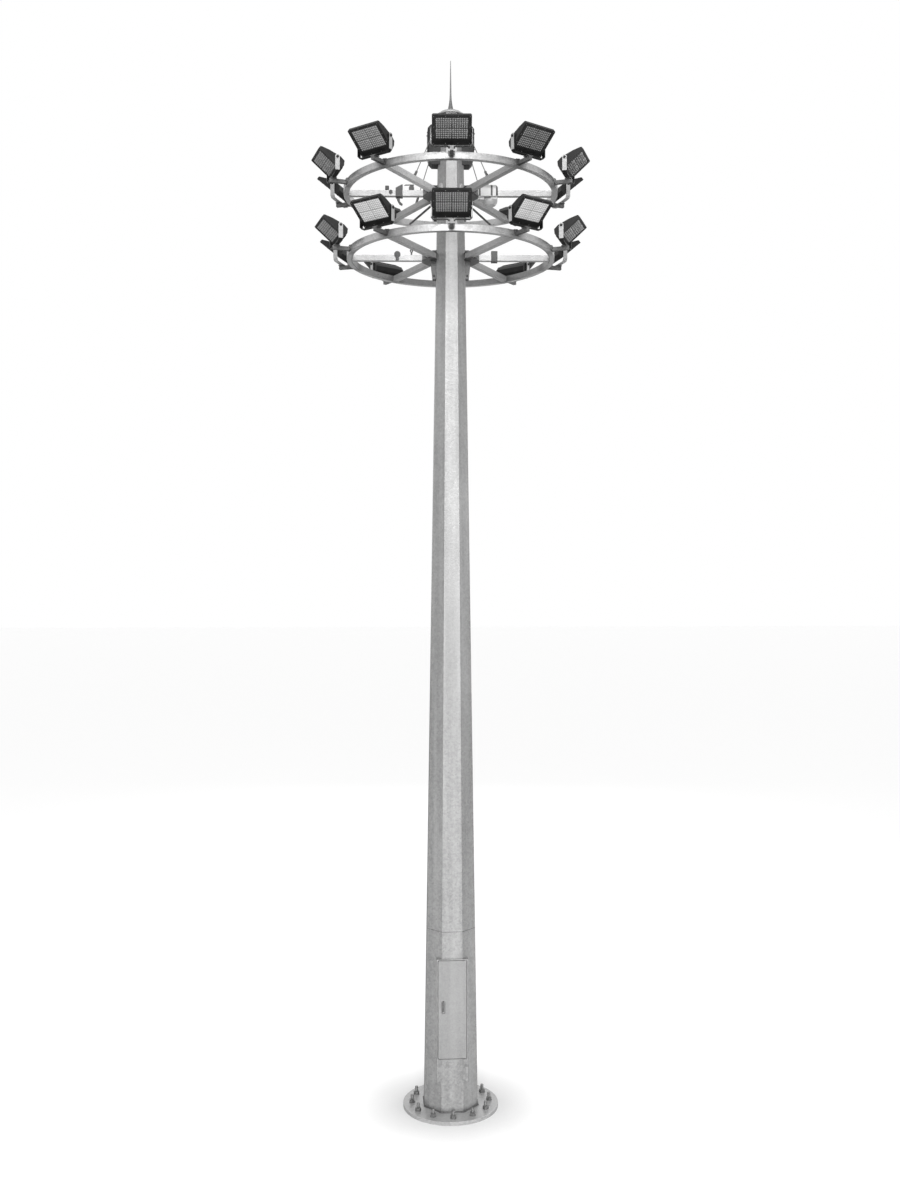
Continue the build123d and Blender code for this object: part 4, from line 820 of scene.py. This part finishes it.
# %% Bolt the brackets
SPOKE_HALF, FAN_PLATE = 0.04, 0.012
FAN_REACH = 0.205  # from the bracket's end back to where the bolts are counted from
FAN_BOLTS = ((0.06, -0.15), (0.06, 0.15), (0.13, -0.13), (0.13, 0.13))
BOTH_HALVES = (Matrix.Identity(4), Matrix.Rotation(pi, 4, "Z"))
head_turn_matrix = Matrix.Rotation(HEAD_TURN, 4, "Z")
for level in ("upper", "lower"):
    low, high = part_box(f"{level}_brackets")
    ring_low, ring_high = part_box(f"{level}_ring")
    middle = (ring_low.z + ring_high.z) / 2
    reach = (high.x - low.x) / 2 * 0.997
    plate_top = middle + SPOKE_HALF + FAN_PLATE
    places = [
        head_turn_matrix @ half @ Matrix.Translation((reach - FAN_REACH + x, y, plate_top))
        for half in BOTH_HALVES
        for x, y in FAN_BOLTS
    ]
    copies(f"{level}_bracket_bolts", bolt, places, "tower", fastener_steel)

# %% [markdown]
# The two closed boxes under the cap have screwed lids on their outward sides: a thin plate with rounded corners
# and a bolt near each corner. The lid is a cube flattened to a sheet, its standing edges bevelled.

# %% Lids of the head boxes
box_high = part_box("head_boxes")[1]
LID_SIZE = (0.004, 0.15, 0.26)
LID_DROP = 0.085  # below the box's top
lid_middle = box_high.z - LID_DROP - LID_SIZE[2] / 2
lid_place = (box_high.x + 0.0005, 0, lid_middle)
lid = start("lid", bpy.ops.mesh.primitive_cube_add, size=1, location=lid_place, scale=LID_SIZE)
rounded(lid, 0.0015, 1)
copies("head_box_lids", lid, BOTH_HALVES, "tower", housing_black)
lid_bolts = [
    half @ Matrix.Translation((box_high.x + 0.0025, y, lid_middle + z)) @ LOOK_SIDE
    for half in BOTH_HALVES
    for y in (-0.062, 0.062)
    for z in (-0.112, 0.112)
]
copies("head_box_bolts", small_bolt, lid_bolts, "tower", fastener_steel)
discard(lid)
print("head boxes reach", round(box_high.x, 4))

# %% [markdown]
# ## Threads of the anchor studs
# Above every nut the stud shows its thread. A three-sided profile goes round the stud with a Screw modifier and
# climbs a pitch at each turn; its two ends are closed afterwards.

# %% Model a thread and put it on the twelve studs
studs_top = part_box("anchor_nuts")[1].z
STUD_RADIUS = 0.021
THREAD_PITCH = 0.0048
THREAD_TURNS = 11
THREAD_STEPS = 12
ANCHOR_COUNT, ANCHOR_RADIUS = 12, 0.555
thread = start(
    "thread",
    bpy.ops.mesh.primitive_circle_add,
    vertices=3,
    radius=0.0024,
    fill_type="NOTHING",
    rotation=(pi / 2, 0, 0),
    location=(STUD_RADIUS - 0.0004, 0, 0),
)
climb = {"axis": "Z", "screw_offset": THREAD_PITCH, "iterations": THREAD_TURNS}
modify(thread, "SCREW", **climb, steps=THREAD_STEPS, render_steps=THREAD_STEPS, use_merge_vertices=False)
pick(thread, lambda centre, normal: True)
bpy.ops.mesh.select_all(action="SELECT")
bpy.ops.mesh.fill_holes(sides=4)
bpy.ops.mesh.select_all(action="SELECT")
bpy.ops.mesh.normals_make_consistent(inside=False)
done()
print("thread faces:", len(thread.data.polygons), "studs reach", round(studs_top, 4))
thread_foot = studs_top - 0.004 - THREAD_TURNS * THREAD_PITCH
places = [turned(2 * pi * index / ANCHOR_COUNT, ANCHOR_RADIUS, thread_foot) for index in range(ANCHOR_COUNT)]
copies("stud_threads", thread, places, "tower", fastener_steel)
discard(thread, bolt, small_bolt)
